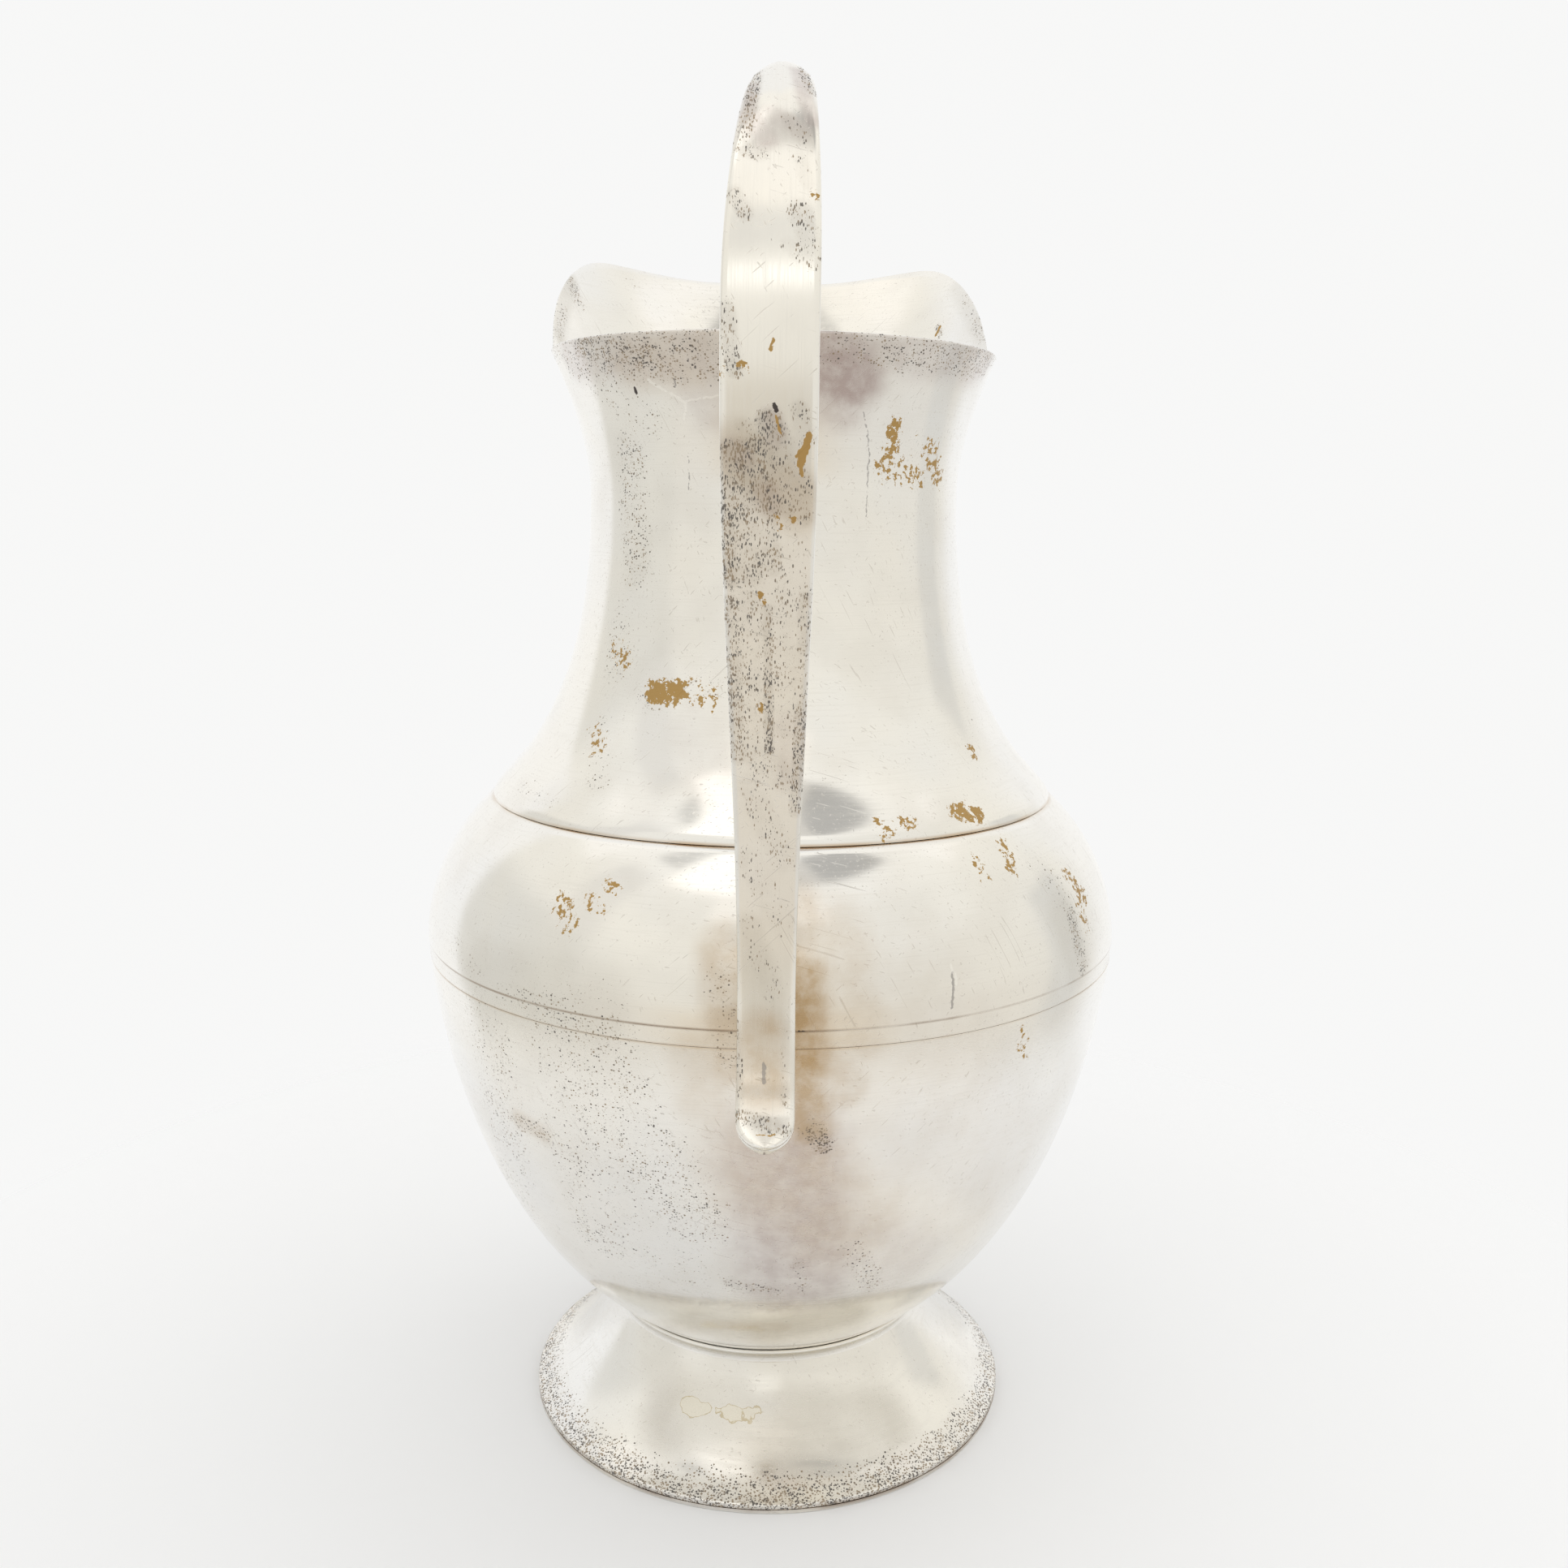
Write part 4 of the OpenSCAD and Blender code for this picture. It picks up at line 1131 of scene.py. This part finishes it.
def make_world():
    """Plain soft light, and for mirrored rays a pale room around the ewer."""
    world = bpy.data.worlds.new("studio")
    bpy.context.scene.world = world
    g = Nodes(world)
    light = g.tree.nodes["Background"]
    light.inputs["Color"].default_value = (1, 1, 1, 1)
    light.inputs["Strength"].default_value = PLAIN_LIGHT
    way = g.vector("NORMALIZE", g.add("TexCoord").outputs["Generated"])
    x, y, z = g.add("SeparateXYZ", {0: way}).outputs
    turn = g.math("DEGREES", g.math("ARCTAN2", x, g.times(y, -1.0)))
    rise = g.math("DEGREES", g.math("ARCSINE", z))

    def window(value, span, soft):
        """1 inside a span of degrees, 0 outside."""
        after = g.ramp(value, span[0] - soft, span[0] + soft)
        before = g.ramp(value, span[1] - soft, span[1] + soft, 1.0, 0.0)
        return g.times(after, before)

    colour = g.blend(g.ramp(rise, *LOW_TO_MIDDLE), ROOM_LOW, ROOM_MIDDLE)
    colour = g.blend(g.ramp(rise, *MIDDLE_TO_HIGH), colour, ROOM_HIGH)
    table = g.blend(g.ramp(g.math("ABSOLUTE", turn), *TABLE_TURN), TABLE_FRONT, TABLE_SIDE)
    colour = g.blend(g.ramp(rise, *TABLE_EDGE), table, colour)
    for turns, rises, soft, tint in ROOM_PATCHES:
        share = g.times(window(turn, turns, soft), window(rise, rises, soft))
        colour = g.blend(share, colour, tint)
    behind = g.most(g.ramp(turn, *WHITE_LEFT, 1.0, 0.0), g.ramp(turn, *WHITE_RIGHT))
    colour = g.blend(behind, colour, WHITE_WALL)
    studio = g.add("Background", {"Color": colour, "Strength": 1.0})
    backdrop = g.add("Background", {"Color": BACKDROP, "Strength": 1.0})
    rays = g.add("LightPath").outputs
    mirrored = g.most(rays["Is Glossy Ray"], rays["Is Transmission Ray"])
    shown = g.add("MixShader", {0: mirrored, 1: light.outputs[0], 2: studio.outputs[0]})
    shown = g.add("MixShader", {0: rays["Is Camera Ray"], 1: shown.outputs[0], 2: backdrop.outputs[0]})
    g.plug(g.tree.nodes["World Output"].inputs[0], shown.outputs[0])


def make_lamp(name, azimuth, elevation, distance, size, watts):
    """A square soft panel that looks at the ewer; the mirrored room already holds its reflection."""
    data = bpy.data.lights.new(name, "AREA")
    data.size = size
    data.energy = watts
    lamp = placed(name, data)
    lamp.visible_glossy = False
    middle = Vector(LAMP_AIM)
    a, e = math.radians(azimuth), math.radians(elevation)
    way = Vector((math.cos(e) * math.sin(a), math.cos(e) * math.cos(a), math.sin(e)))
    lamp.location = middle + distance * way
    lamp.rotation_euler = (middle - lamp.location).to_track_quat("-Z", "Y").to_euler()


make_floor()
make_world()
for lamp_name, values in LAMPS.items():
    make_lamp(lamp_name, *values)
bpy.context.scene.view_settings.view_transform = "Standard"
